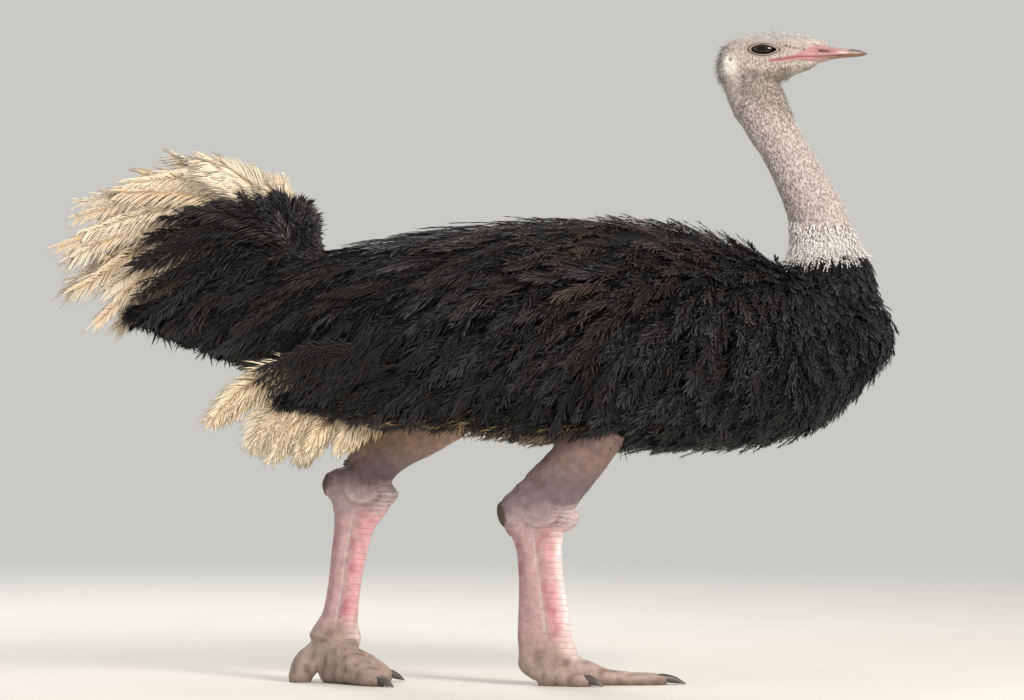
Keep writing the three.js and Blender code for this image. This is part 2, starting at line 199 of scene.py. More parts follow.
def meshObject(name, points, faces, smooth=True):
    # an object at the origin from arrays of points and of three- or four-cornered faces
    groups = faces if isinstance(faces, list) else [faces]
    corners = np.concatenate([group.ravel() for group in groups]).astype(np.int32)
    sizes = np.concatenate([np.full(len(group), group.shape[1]) for group in groups])
    starts = np.concatenate([[0], np.cumsum(sizes)[:-1]]).astype(np.int32)
    mesh = bpy.data.meshes.new(name)
    mesh.vertices.add(len(points))
    mesh.vertices.foreach_set("co", np.asarray(points, np.float32).ravel())
    mesh.loops.add(len(corners))
    mesh.loops.foreach_set("vertex_index", corners)
    mesh.polygons.add(len(sizes))
    mesh.polygons.foreach_set("loop_start", starts)
    mesh.polygons.foreach_set("use_smooth", np.full(len(sizes), smooth))
    mesh.update(calc_edges=True)
    obj = bpy.data.objects.new(name, mesh)
    collection.objects.link(obj)
    return obj


def fetched(items, key, width, kind=np.float32):
    # one row for each item of a mesh
    values = np.empty(len(items) * width, kind)
    items.foreach_get(key, values)
    return values.reshape(-1, width)


def pointsOf(mesh):
    return fetched(mesh.vertices, "co", 3).astype(float)


def normalsOf(mesh):
    return fetched(mesh.vertex_normals, "vector", 3).astype(float)


def cornersOf(items, key="vertex_index", width=1):
    return fetched(items, key, width, np.int32)


def treeOf(mesh):
    return BVHTree.FromPolygons([Vector(p) for p in pointsOf(mesh)], [p.vertices[:] for p in mesh.polygons])


def applied(obj):
    # the object's mesh once its modifiers are applied
    graph = bpy.context.evaluated_depsgraph_get()
    mesh = bpy.data.meshes.new_from_object(obj.evaluated_get(graph))
    obj.modifiers.clear()
    return mesh


def movePoints(mesh, points):
    mesh.vertices.foreach_set("co", np.asarray(points, np.float32).ravel())
    mesh.update()


def giveNumbers(mesh, name, values):
    layer = mesh.attributes.new(name, "FLOAT", "POINT")
    layer.data.foreach_set("value", np.asarray(values, np.float32))


def giveVectors(mesh, name, values):
    layer = mesh.attributes.new(name, "FLOAT_VECTOR", "POINT")
    layer.data.foreach_set("vector", np.asarray(values, np.float32).ravel())


def giveColours(mesh, name, colours):
    layer = mesh.attributes.new(name, "FLOAT_COLOR", "POINT")
    layer.data.foreach_set("color", np.insert(colours, 3, 1, axis=1).astype(np.float32).ravel())


def giveBakeMap(mesh, places):
    # one place on the map for each point of the mesh
    layer = mesh.uv_layers.new(name="OFBake")
    places = np.clip(places, 0, 1)[cornersOf(mesh.loops)[:, 0]]
    layer.data.foreach_set("uv", places.astype(np.float32).ravel())


def finished(obj, finish, slot, *nodes):
    # a finished piece: its material, and the parts of the frame that it stands for; slot is not used
    obj.data.materials.clear()
    obj.data.materials.append(finish)
    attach(obj, "root")
    if nodes:
        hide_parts(*nodes)
    return obj


# Camera, light and floor

view = {
    "from": (0.134, -25.0, 1.70), "to": (0.134, 0.0, 1.081), "lens": 272.0,
    "air": "e9e8e4", "airStrength": 0.72,
    "key": {"at": (5.5, -6.5, 5.2), "size": 2.4, "power": 820, "colour": "fff8f0"},
    "fill": {"at": (-6.0, -7.0, 3.2), "size": 5.0, "power": 150, "colour": "f3f4ff"},
    "rim": {"at": (-3.0, 6.5, 5.0), "size": 4.0, "power": 330, "colour": "ffffff"},
    "lampAim": (0.1, 0, 0.9),
    "floorColour": "d9d5cc", "floorPale": "e4e1da", "floorRadius": 9.0, "floorSides": 96,
    "floorLevel": -0.0005,
}


def aimed(obj, at, target):
    obj.location = at
    obj.rotation_euler = (Vector(target) - Vector(at)).to_track_quat("-Z", "Y").to_euler()
    collection.objects.link(obj)


def makeStudio():
    lens = bpy.data.cameras.new("camera")
    lens.sensor_width = 36
    lens.lens = view["lens"]
    lens.clip_end = 200
    camera = bpy.data.objects.new("camera", lens)
    aimed(camera, view["from"], view["to"])
    bpy.context.scene.camera = camera
    for name in ("key", "fill", "rim"):
        light = view[name]
        lamp = bpy.data.lights.new(name, "AREA")
        lamp.size = light["size"]
        lamp.energy = light["power"]
        lamp.color = hexColour(light["colour"])[:3]
        aimed(bpy.data.objects.new(name, lamp), light["at"], view["lampAim"])
    air = bpy.data.worlds.new("studio air")
    air.use_nodes = True
    air.node_tree.nodes["Background"].inputs["Color"].default_value = hexColour(view["air"])
    air.node_tree.nodes["Background"].inputs["Strength"].default_value = view["airStrength"]
    bpy.context.scene.world = air
    bpy.context.scene.view_settings.view_transform = "Standard"

    # painted board, matt: it fades out towards its rim, so that no horizon shows
    finish, add = newFinish("painted floor board")
    place = add("ShaderNodeTexCoord").outputs["Object"]
    reach = add("ShaderNodeVectorMath", {0: place}, operation="LENGTH")
    fade = add("ShaderNodeMapRange", {
        "Value": reach, "From Min": 2.2, "From Max": view["floorRadius"] - 0.5, "To Min": 1, "To Max": 0,
    }, interpolation_type="SMOOTHSTEP")
    grain = add("ShaderNodeTexNoise", {"Vector": place, "Scale": 1.6, "Detail": 4.0})
    colour = add("ShaderNodeMix", {
        0: grain, 6: hexColour(view["floorColour"]), 7: hexColour(view["floorPale"]),
    }, data_type="RGBA")
    board = add("ShaderNodeBsdfPrincipled", {"Base Color": colour, "Roughness": 0.85, "Alpha": fade})
    add("ShaderNodeOutputMaterial", {"Surface": board})
    ring = np.arange(view["floorSides"])
    around = ring * 2 * math.pi / len(ring)
    rim = np.stack([np.cos(around), np.sin(around), 0 * around], axis=1) * view["floorRadius"]
    points = np.concatenate([rim, [[0, 0, 0]]])
    points[:, 2] = view["floorLevel"]
    faces = np.stack([ring, np.roll(ring, -1), np.full(len(ring), len(ring))], axis=1)
    floor = meshObject("floor", points, faces)
    floor.data.materials.append(finish)


makeStudio()
report("camera, light and floor are set")


# The skin: one closed body under the coat, from the head's front to the toes

bodyRows = [  # x, top, bottom, half width
    [-1085, 1222, 1196, 22], [-1000, 1262, 1142, 82], [-860, 1300, 1090, 124],
    [-720, 1340, 1036, 163], [-580, 1384, 978, 199], [-406, 1424, 918, 242],
    [-228, 1460, 862, 282], [0, 1497, 817, 316], [354, 1518, 773, 330],
    [620, 1497, 757, 324], [820, 1452, 763, 305], [1000, 1364, 790, 278],
    [1130, 1292, 838, 244], [1240, 1262, 926, 196], [1318, 1240, 1022, 136],
    [1368, 1178, 1108, 36],
]
neckRows = [  # step, x, y, z, fore-and-aft radius, side radius
    [0, 1100, 0, 1065, 190, 184], [1, 1138, 0, 1205, 182, 160], [2, 1158, 0, 1306, 156, 120],
    [3, 1148, 0, 1382, 127, 96], [4, 1135, 0, 1447, 107, 80], [5, 1111, 0, 1534, 95, 72],
    [6, 1066, 0, 1631, 84, 65], [7, 1014, 0, 1728, 79, 61], [8, 963, 0, 1815, 83, 62],
    [9, 916, 0, 1906, 92, 63], [10, 884, 0, 1975, 80, 56],
]
headRows = [  # x, top, bottom, half width
    [800, 2018, 1972, 14], [815, 2056, 1930, 36], [840, 2077, 1912, 48],
    [880, 2089, 1912, 55], [940, 2099, 1926, 57], [1000, 2101, 1950, 53],
    [1060, 2097, 1974, 47], [1100, 2090, 1990, 41], [1125, 2086, 2006, 34], [1150, 2080, 2028, 22],
]
tailStump = [  # x, top, bottom, half width
    [-678, 1414, 1364, 26], [-650, 1446, 1330, 60], [-584, 1472, 1300, 84], [-520, 1452, 1320, 66],
    [-490, 1420, 1350, 32],
]
legs = {  # y < 0 is the bird's right; paths hold step, x, y, z, fore-and-aft radius, side radius
    "right": {
        "shank": [[0, 425, -160, 858, 90, 84], [1, 399, -154, 823, 99, 88], [2, 336, -140, 719, 88, 70],
                  [3, 288, -126, 661, 90, 61], [4, 246, -112, 612, 98, 56]],
        "hock": [[0, 254, -116, 632, 84, 54], [1, 226, -109, 588, 116, 54], [2, 217, -102, 548, 129, 52],
                 [3, 215, -97, 516, 108, 48], [4, 217, -95, 488, 87, 44]],
        "tarsus": [[0, 217, -95, 494, 86, 44], [1, 222, -88, 435, 73, 40], [2, 228, -78, 340, 72, 38],
                   [3, 234, -70, 260, 79, 39], [4, 239, -63, 180, 87, 42], [5, 247, -58, 125, 95, 47],
                   [6, 262, -54, 84, 104, 50]],
        "toes": [
            {"at": (150, -52), "heading": 4, "clawAt": 484, "claw": "large", "rows": [
                [0, 84, 58, 20], [26, 120, 30, 42], [80, 136, 4, 52], [150, 128, -6, 51],
                [215, 92, -6, 45], [280, 56, -6, 41], [370, 40, -6, 39], [440, 37, -6, 37],
                [484, 24, 1, 22]]},
            {"at": (232, -72), "heading": -21, "clawAt": 162, "claw": "small", "rows": [
                [-10, 74, -6, 18], [30, 66, -6, 26], [90, 50, -6, 25], [140, 38, -6, 21],
                [162, 24, 1, 12]]},
        ],
        "pad": (88, -112, 549, 34, 44, 50),  # horny pad behind the hock: place and reach
        "knob": (298, -100, 543, 54, 46, 45),  # rounded front of the hock
    },
    "left": {
        "shank": [[0, -84, 168, 890, 112, 94], [1, -146, 160, 838, 100, 88], [2, -262, 144, 756, 80, 70],
                  [3, -318, 132, 706, 84, 61], [4, -346, 120, 664, 96, 56]],
        "hock": [[0, -340, 122, 682, 84, 54], [1, -352, 114, 648, 118, 54], [2, -357, 109, 616, 121, 53],
                 [3, -362, 104, 576, 96, 49], [4, -371, 100, 536, 76, 44]],
        "tarsus": [[0, -371, 100, 540, 75, 44], [1, -382, 98, 490, 63, 40], [2, -398, 94, 400, 56, 37],
                   [3, -412, 88, 300, 53, 37], [4, -422, 82, 225, 59, 40], [5, -430, 78, 172, 82, 48],
                   [6, -437, 76, 132, 96, 54]],
        "toes": [
            {"at": (-432, 72), "heading": -52, "clawAt": 236, "claw": "large", "rows": [
                [-70, 146, 40, 30], [-40, 152, -6, 52], [0, 152, -6, 58], [70, 120, -6, 51],
                [140, 76, -6, 45], [200, 48, -6, 41], [236, 27, 1, 25]]},
            {"at": (-392, 96), "heading": 20, "clawAt": 140, "claw": "small", "rows": [
                [-10, 128, -6, 24], [40, 108, -6, 29], [90, 76, -6, 26], [122, 54, -6, 22],
                [140, 36, 1, 13]]},
        ],
        "pad": (-475, 116, 645, 26, 34, 44),
        "knob": (-292, 110, 610, 53, 46, 43),
    },
}
heelRows = [  # the rear foot's horny cushion: step, x, y, z, in-plane radius, side radius
    [0, -432, 84, 142, 42, 42], [1, -488, 91, 104, 47, 46], [2, -530, 97, 62, 46, 45],
    [3, -550, 100, 26, 40, 40], [4, -556, 101, -6, 34, 36],
]
clawRows = {  # past the toe's end: distance, top, bottom, half width
    "large": [[-52, 30, 12, 14], [-12, 35, 7, 18], [28, 26, 3, 13], [62, 6, 1, 3]],
    "small": [[-24, 36, 16, 8], [0, 38, 10, 12], [26, 25, 4, 9], [46, 6, 1, 2]],
}

knobShape = [  # place along it, share of its girth, added girth
    (-1, 0, 6), (-0.5, 0.87, 0), (0, 1, 0), (0.5, 0.87, 0), (0.85, 0.5, 0), (1, 0, 4),
]

skinPlan = {
    # places where head and neck are evened out, and one where the lids are not: x, y, z, radius
    "blended": [(872, 0, 1948, 74), (845, 0, 1905, 50), (915, 0, 1925, 60)],
    "blendedMore": [(892, 0, 1918, 46)],
    "keptLid": (950, 58, 2052, 46),
    "coatDepth": 26,  # how deep the skin lies under the plumes
    "neckDepth": [[0, 26, 0], [2, 14, 0], [3, 9, 0], [4, 5, 0], [10, 3, 0]],  # step, depth
    "headDepth": 1.5,
    "eye": {"x": 943, "y": 37, "z": 2052, "long": 41, "deep": 19, "tall": 20},
    "lid": {"back": 39, "front": 44, "rise": 15.5, "fall": 16.5, "thick": 2.5, "lift": 1.2,
            "narrow": 0.30, "tilt": 0.03,  # towards its front corner
            "steps": 72, "sides": 10, "opening": (0.985, 0.95), "depths": (24, 92)},
    "scutePitch": 20,  # one plate of the shin's front
    "toePitch": 10.5, "foldPitch": 15.5,
    "boss": {"ahead": 6, "up": 10, "long": 52, "tall": 42, "lift": 7.5},  # round each side of the hock
}


def onFoot(rings, toe):
    # turns sections along a toe to its heading, and flattens its sole on the floor
    turn = math.radians(toe["heading"])
    x, y, z = rings[..., 0], rings[..., 1], rings[..., 2]
    return np.stack([x * math.cos(turn) - y * math.sin(turn) + toe["at"][0] * mm,
                     x * math.sin(turn) + y * math.cos(turn) + toe["at"][1] * mm,
                     np.maximum(z, 0)], axis=-1)


def alongToe(points, toe):
    # distance along the toe and to its side, in millimetres
    turn = math.radians(toe["heading"])
    x = points[:, 0] / mm - toe["at"][0]
    y = points[:, 1] / mm - toe["at"][1]
    return x * math.cos(turn) + y * math.sin(turn), y * math.cos(turn) - x * math.sin(turn)


def lidLine(count):
    # the almond line of the lids' rims, as x and z from the eye's middle
    lid = skinPlan["lid"]
    angle = np.arange(count) * 2 * math.pi / count
    x = np.cos(angle) * np.where(np.cos(angle) > 0, lid["front"], lid["back"])
    narrow = 1 - lid["narrow"] * eased(x, 10, lid["front"])
    z = np.sin(angle) * np.where(np.sin(angle) > 0, lid["rise"], lid["fall"]) * narrow
    return x, z - lid["tilt"] * np.maximum(x, 0)


def headSide(x, z):
    # half width of the head at a place
    row = between(headRows, x)
    share = np.clip((2 * z - row[:, 1] - row[:, 2]) / (row[:, 1] - row[:, 2]), -0.96, 0.96)
    return row[:, 3] * (1 - np.abs(share) ** 2.15) ** (1 / 2.15) - skinPlan["headDepth"]


def lidParts(side):
    # a rounded rim round the eye, and the opening that is cut inside it
    eye, lid = skinPlan["eye"], skinPlan["lid"]
    count, sides = lid["steps"], lid["sides"]
    x, z = lidLine(count)
    y = headSide(x + eye["x"], z + eye["z"]) + lid["lift"]
    middle = np.stack([x + eye["x"], side * y, z + eye["z"]], axis=1)
    outward = unit(np.stack([x / lid["back"] ** 2, 0 * x, z / lid["rise"] ** 2], axis=1))
    sideward = np.array([0, side, 0])
    turn = (np.arange(sides) * 2 * math.pi / sides)[None, :, None]
    rim = middle[:, None] + lid["thick"] * (outward[:, None] * np.cos(turn) + sideward * np.sin(turn))
    rim = rim[::-side] * mm
    here = np.arange(count * sides).reshape(count, sides)
    ahead = np.roll(here, -1, axis=0)
    quads = np.stack([here, np.roll(here, -1, axis=1), np.roll(ahead, -1, axis=1), ahead], axis=2)
    long, tall = lid["opening"]
    opening = np.array([
        np.stack([x * long + eye["x"], 0 * x + side * depth, z * tall + eye["z"]], axis=1) * mm
        for depth in lid["depths"][::-side]])
    return (rim.reshape(-1, 3), quads.reshape(-1, 4)), closedTube(opening)


def combined(name, first, others, cuts):
    # joins closed bodies into one and cuts others out of it
    base = meshObject(name, *first)
    tools = []
    for bodies, operation in ((others, "UNION"), (cuts, "DIFFERENCE")):
        for body in bodies:
            tool = meshObject("tool", *body)
            join = base.modifiers.new("join", "BOOLEAN")
            join.operation = operation
            join.solver = "MANIFOLD"
            join.object = tool
            tools.append(tool)
    base.data = applied(base)
    for tool in tools:
        bpy.data.objects.remove(tool)
    return base


def relaxed(mesh, weights, rounds, kept=0.0):
    # evens out the surface where the weights are, to blend one form into the next;
    # kept is the share of each step that is given back, so that slim forms keep their girth
    points = pointsOf(mesh)
    a, b = cornersOf(mesh.edges, "vertices", 2).T
    count = len(points)
    links = np.bincount(a, minlength=count) + np.bincount(b, minlength=count)
    for step in [0.6, -0.6 * kept][:2 if kept else 1] * rounds:
        mean = np.empty_like(points)
        for axis in range(3):
            total = np.bincount(a, points[b, axis], count) + np.bincount(b, points[a, axis], count)
            mean[:, axis] = total / np.maximum(links, 1)
        points += (mean - points) * (weights * step)[:, None]
    movePoints(mesh, points)


def nearWeights(points, spots):
    # 1 inside any of the spots (x, y, z, radius in mm), easing to 0 at 1.4 radii
    weights = np.zeros(len(points))
    for x, y, z, radius in spots:
        distance = np.linalg.norm(points / mm - [x, y, z], axis=1)
        weights = np.maximum(weights, 1 - eased(distance, radius, radius * 1.4))
    return weights


def rippled(points, pitch, seed, waves=7):
    # a soft random relief between about -1 and 1, with features of a size in millimetres
    source = np.random.default_rng(seed)
    total = np.zeros(len(points))
    for _ in range(waves):
        direction = unit(source.normal(size=3)) * 2 * math.pi / (pitch * mm * source.uniform(0.7, 1.5))
        total += np.sin(points @ direction + source.uniform(0, 6.3))
    return total / math.sqrt(waves)


def stumpBody(inset=0.0):
    places = np.linspace(tailStump[0][0], tailStump[-1][0], 14)
    return closedTube(domed(ringsAlongX(tailStump, places, 32, 2.0, inset), 6))


def skinBodies():
    core = ringsAlongX(bodyRows, np.linspace(-1040, 1330, 60), 44, 2.2, skinPlan["coatDepth"])
    neckPlaces = np.concatenate([np.linspace(0, 3, 22), np.linspace(3, 10.2, 172)[1:]])
    depth = between(skinPlan["neckDepth"], neckPlaces)[:, 1]
    neck = ringsAlongPath(neckRows, neckPlaces, 72, depth)
    headPlaces = np.linspace(800, 1150, 172)
    head = domed(ringsAlongX(headRows, headPlaces, 150, 2.15, skinPlan["headDepth"]), 5)
    others = [closedTube(neck), closedTube(head), stumpBody()]
    spots, sharp, slim = list(skinPlan["blended"]), list(skinPlan["blendedMore"]), []
    for leg in legs.values():
        for part, count in (("shank", 70), ("hock", 44), ("tarsus", 104)):
            places = np.linspace(0, leg[part][-1][0], count)
            others.append(closedTube(ringsAlongPath(leg[part], places, 64)))
        for toe in leg["toes"]:
            first, last = toe["rows"][0][0], toe["rows"][-1][0]
            rings = ringsAlongX(toe["rows"], np.linspace(first, last, int((last - first) / 4.2)), 40, 2.7)
            others.append(closedTube(onFoot(rings, toe)))
        x, y, z, long, wide, tall = leg["knob"]
        knob = [[x + long * along, z + tall * girth + more, z - tall * girth - more, wide * girth + more]
                for along, girth, more in knobShape]
        rings = ringsAlongX(knob, np.linspace(x - long, x + long, 22), 36)
        others.append(closedTube(rings + np.array([0, y * mm, 0])))
        hock, tarsus = leg["hock"], leg["tarsus"]
        ankleX, ankleY, ankleZ = tarsus[-1][1:4]
        slim += [(*hock[0][1:4], 70), (*hock[4][1:4], 66), (x, y, z, 70)]
        spots.append((ankleX, ankleY, ankleZ, 98))
        sharp.append((ankleX + 96, ankleY, ankleZ + 34, 44))
    heel = ringsAlongPath(heelRows, np.linspace(0, 4, 40), 32)
    heel[..., 2] = np.maximum(heel[..., 2], 0)
    others.append(closedTube(heel))
    rims, openings = zip(*[lidParts(side) for side in (-1, 1)])
    return closedTube(domed(core, 20)), others + list(rims), list(openings), (spots, sharp, slim)


def legFrames(points, leg):
    # where a point lies in its leg's section: shares ahead and aside, and degrees round from the front
    path = leg["shank"][:4] + leg["hock"][1:4] + leg["tarsus"][1:]
    rows = sorted([z, x, y, deep, wide] for _, x, y, z, deep, wide in path)
    _, x, y, deep, wide = between(rows, points[:, 2] / mm).T
    ahead = (points[:, 0] / mm - x) / deep
    aside = (points[:, 1] / mm - y) / wide
    return ahead, aside, np.degrees(np.arctan2(aside, ahead))


def makeSkin():
    core, others, openings, (spots, sharp, slim) = skinBodies()
    skin = combined("skin", core, others, openings)
    mesh = skin.data
    points = pointsOf(mesh)
    lidX, lidY, lidZ, reach = skinPlan["keptLid"]
    lidFree = 1 - nearWeights(points, [(lidX, side * lidY, lidZ, reach) for side in (-1, 1)])
    soles = points[:, 2] > 0.2 * mm
    relaxed(mesh, nearWeights(points, spots) * lidFree * soles, 26)
    relaxed(mesh, nearWeights(points, sharp) * lidFree * soles, 60)
    relaxed(mesh, nearWeights(points, slim), 34, 0.85)
    points = pointsOf(mesh)
    normals = normalsOf(mesh)
    x, y, z = (points / mm).T
    head = nearHead(points)
    lift, scute, scuteMask = np.zeros((3, len(points)))

    # head and neck
    lift += headRelief(x, y, z) * head
    neck = eased(z, 1330, 1400) * (1 - head) * (x > 1015 - 0.9 * np.maximum(z - 1450, 0))
    lift += neck * (rippled(points * [1, 1, 2.2], 46, 5) * 0.9 + rippled(points, 17, 6) * 0.35)
    headWeights = headTints(x, y, z, head, neck)
    bare = np.clip(sum(headWeights[name] for name in ("gape", "billPink", "earHole", "loreSkin")), 0, 1)
    # the near-black ground stays only where the coat hides the skin: painted shade for the gaps in the coat
    tint = painted("under", skinTints, headWeights.items(), len(points))

    # legs
    for name, leg in legs.items():
        side = -1 if name == "right" else 1
        mine = (y * side > 0) & (x < 640) & (z < 900)
        place = points[mine]
        ahead, aside, around = legFrames(place, leg)
        legLift, weights, plates, plateMask = legRelief(place, leg, name, ahead, aside, around)
        lift[mine] += legLift
        scute[mine] = plates
        scuteMask[mine] = plateMask
        tint[mine] = painted("shank", skinTints, weights, len(place))
    still = (z < 0.2).astype(float)
    points += normals * (lift * (1 - still) * mm)[:, None]
    points[:, 2] = np.maximum(points[:, 2], 0)
    movePoints(mesh, points)

    giveColours(mesh, "tint", tint)
    giveNumbers(mesh, "scute", scute)
    giveNumbers(mesh, "scuteMask", scuteMask)
    giveNumbers(mesh, "lid", lidDistance(x, y, z, head))
    giveNumbers(mesh, "downy", np.clip(neck + head, 0, 1) * (lidDistance(x, y, z, head) > 1.6) * (1 - bare))
    giveNumbers(mesh, "bare", bare)
    giveNumbers(mesh, "pebble", eased(720 - z, 0, 90) * (z < 800))
    return skin


skinTints = {  # sRGB
    # under: near-black skin under the coat, painted shade that darkens the gaps between plumes
    "under": "080707", "neck": "8e7f7d", "neckTop": "857972", "neckBack": "7c6e6c", "head": "988d85",
    "crown": "c6bdb6", "cheek": "857b73", "nape": "82766f", "throat": "756b64", "gape": "ae7d7e",
    # earHole: dark inside the ear's opening, painted shade in its hollow
    "gapeDeep": "8b504d", "billPink": "b39090", "collar": "ded6d0", "ear": "fbf5ea", "earHole": "56443a",
    # lore: a dark line along the fold from the eye to the bill, painted shadow of that fold
    # shankFar: paler tint on the far leg's near side, painted light to offset the shade that leg stands in
    "lore": "4a3f39", "loreSkin": "b39f96", "shank": "806760", "shankFar": "ad8d78", "shankBlue": "6d6570",
    "shankLow": "7d6e75", "hock": "b39d9e", "shinSide": "c6a0a2", "shinPlate": "cf9198",
    # crease: darker tint in the hock's creases, painted shade
    "shinPale": "f3e2e2", "shinRed": "b55a6a", "crease": "8d5f56", "ankle": "b59c92", "foot": "b09b90",
    "footDark": "75655b", "padHorn": "4f473b",
}


def nearHead(points):
    # 1 on the head, easing to 0 on the neck below the throat
    x, z = points[:, 0] / mm, points[:, 2] / mm
    return eased(z + 0.30 * (x - 880), 1838, 1928) * (x > 760)


def lidDistance(x, y, z, head):
    # 1 on the line of the lids' rims, less inside it and more outside
    eye, lid = skinPlan["eye"], skinPlan["lid"]
    dx = x - eye["x"]
    dz = z - eye["z"] + lid["tilt"] * np.maximum(dx, 0)
    narrow = 1 - lid["narrow"] * eased(dx, 10, lid["front"])
    wide = np.where(dx > 0, lid["front"], lid["back"])
    tall = np.where(dz > 0, lid["rise"], lid["fall"]) * narrow
    distance = np.hypot(dx / wide, dz / tall)
    return np.where((head > 0.5) & (np.abs(y) > 22), np.minimum(distance, 4), 4.0)


def gapeLine(x):
    # height of the line between the halves of the bill
    return 2036 - (1276 - x) * 0.042 - 8 * (1 - eased(x, 955, 1060))


def loreLine(x):
    # height of the fold from the eye's front corner to the bill
    return 2068 - 0.20 * (x - 990)


def onLore(x):
    # 1 over the length of that fold
    return within(x, 975, 995, 1082, 1102)


def earPlace(x, z):
    # how far along and up from the middle of the ear's opening, where 1 is its rim
    return (x - 836) / 11, (z - 2020) / 12


def earPatch(x, z):
    # the pale patch of bristles round the ear
    return bell(x - 832, 26, 4) * bell(z - 2002, 31, 4)


def headRelief(x, y, z):
    lidPlace = lidDistance(x, y, z, np.ones(len(x)))
    side = eased(np.abs(y), 12, 26)
    away = eased(lidPlace, 1.15, 1.5)
    crease = -1.4 * bell(lidPlace - 1.45, 0.15) + 1.0 * bell(lidPlace - 1.85, 0.2)
    brow = 2.2 * bell(z - 2078 + 0.16 * np.maximum(x - 960, 0), 6) * eased(x, 900, 940)
    brow *= 1 - eased(x, 1040, 1100)
    lore = 1.6 * bell(z - loreLine(x) - 5, 4) - 3.0 * bell(z - loreLine(x) + 5, 7)
    lore *= within(x, 985, 1005, 1070, 1110)
    gape = gapeLine(x)
    inGape = eased(x, 955, 985)
    lips = 2.6 * bell(z - gape - 6, 4.5) + 2.0 * bell(z - gape + 7, 4.5)
    slit = -3.0 * bell(z - gape, 2.2)
    jaw = -2.0 * bell(z - gape + 20 - 0.05 * (x - 960), 6) * eased(x, 960, 1010)
    cheek = 2.5 * bell(x - 905, 40) * bell(z - 1978, 26)
    earX, earZ = earPlace(x, z)
    ear = 1.6 * np.exp(-np.abs(np.hypot(earX, earZ) - 1) ** 2 / 0.18)
    ear -= 4.0 * np.exp(-(earX ** 2 + earZ ** 2) * 2.2)
    patch = 2.6 * bell(x - 832, 20) * bell(z - 1996, 22)
    place = np.stack([x, y, z], axis=1) * mm
    folds = rippled(place * [1, 1, 1.8], 19, 8) * 0.35
    total = crease * away + (brow + lore + (lips + slit + jaw) * inGape + cheek + patch) * away
    return side * (total + ear) + folds * away


def headTints(x, y, z, head, neck):
    # how much of each tint lies where on the head and neck, in the order that they are laid on
    side = eased(np.abs(y), 14, 28)
    gape = gapeLine(x)
    pinkAt = 17 * eased(x, 1040, 1120) + 3 + 4 * eased(x, 975, 1030)
    pink = (1 - eased(np.abs(z - gape - 8 * eased(x, 1030, 1110)), pinkAt, pinkAt + 5)) * eased(x, 948, 975)
    slit = bell(z - gape, 2.6) * eased(x, 950, 975)
    # the dark line along the brow fold is painted shadow of the fold
    lore = bell(z - loreLine(x), 3.0) * onLore(x)
    loreSkin = bell(z - loreLine(x) + 9, 6.5, 4) * onLore(x)
    earX, earZ = earPlace(x, z)
    return {
        "neck": neck,
        "neckTop": neck * eased(z, 1700, 1860),
        "neckBack": neck * eased(1040 - 0.5 * (z - 1700) - x, 0, 60),
        "collar": neck * (1 - eased(z, 1405, 1450)),
        "head": head,
        "throat": head * eased(gape - 18 - z, 0, 22) * eased(x, 880, 960) * 0.8,
        "cheek": head * side * bell(x - 930, 60) * bell(z - 2006, 24) * 0.8,
        "crown": head * eased(z, 2066, 2086),
        "nape": head * eased(852 - x, 0, 30) * eased(z, 1900, 1990) * 0.15,
        "ear": head * eased(np.abs(y), 2, 12) * earPatch(x, z),
        # dark inside the ear's opening: painted shade in its hollow
        "earHole": head * side * np.exp(-(earX ** 2 + earZ ** 2) * 3.0),
        "loreSkin": head * side * loreSkin * 0.7,
        "lore": head * side * lore,
        "billPink": head * side * eased(x - 0.7 * (z - gape), 1062, 1082) * (1 - eased(z, 2060, 2068))
        * eased(z - gape, -14, -8),
        "gape": head * side * pink,
        "gapeDeep": head * side * slit,
    }


def bandLift(band):
    # a plate's rounded face with a narrow groove at every whole number
    nearest = np.abs(band - np.round(band))
    return 1.1 * eased(nearest, 0.02, 0.20) - 0.8


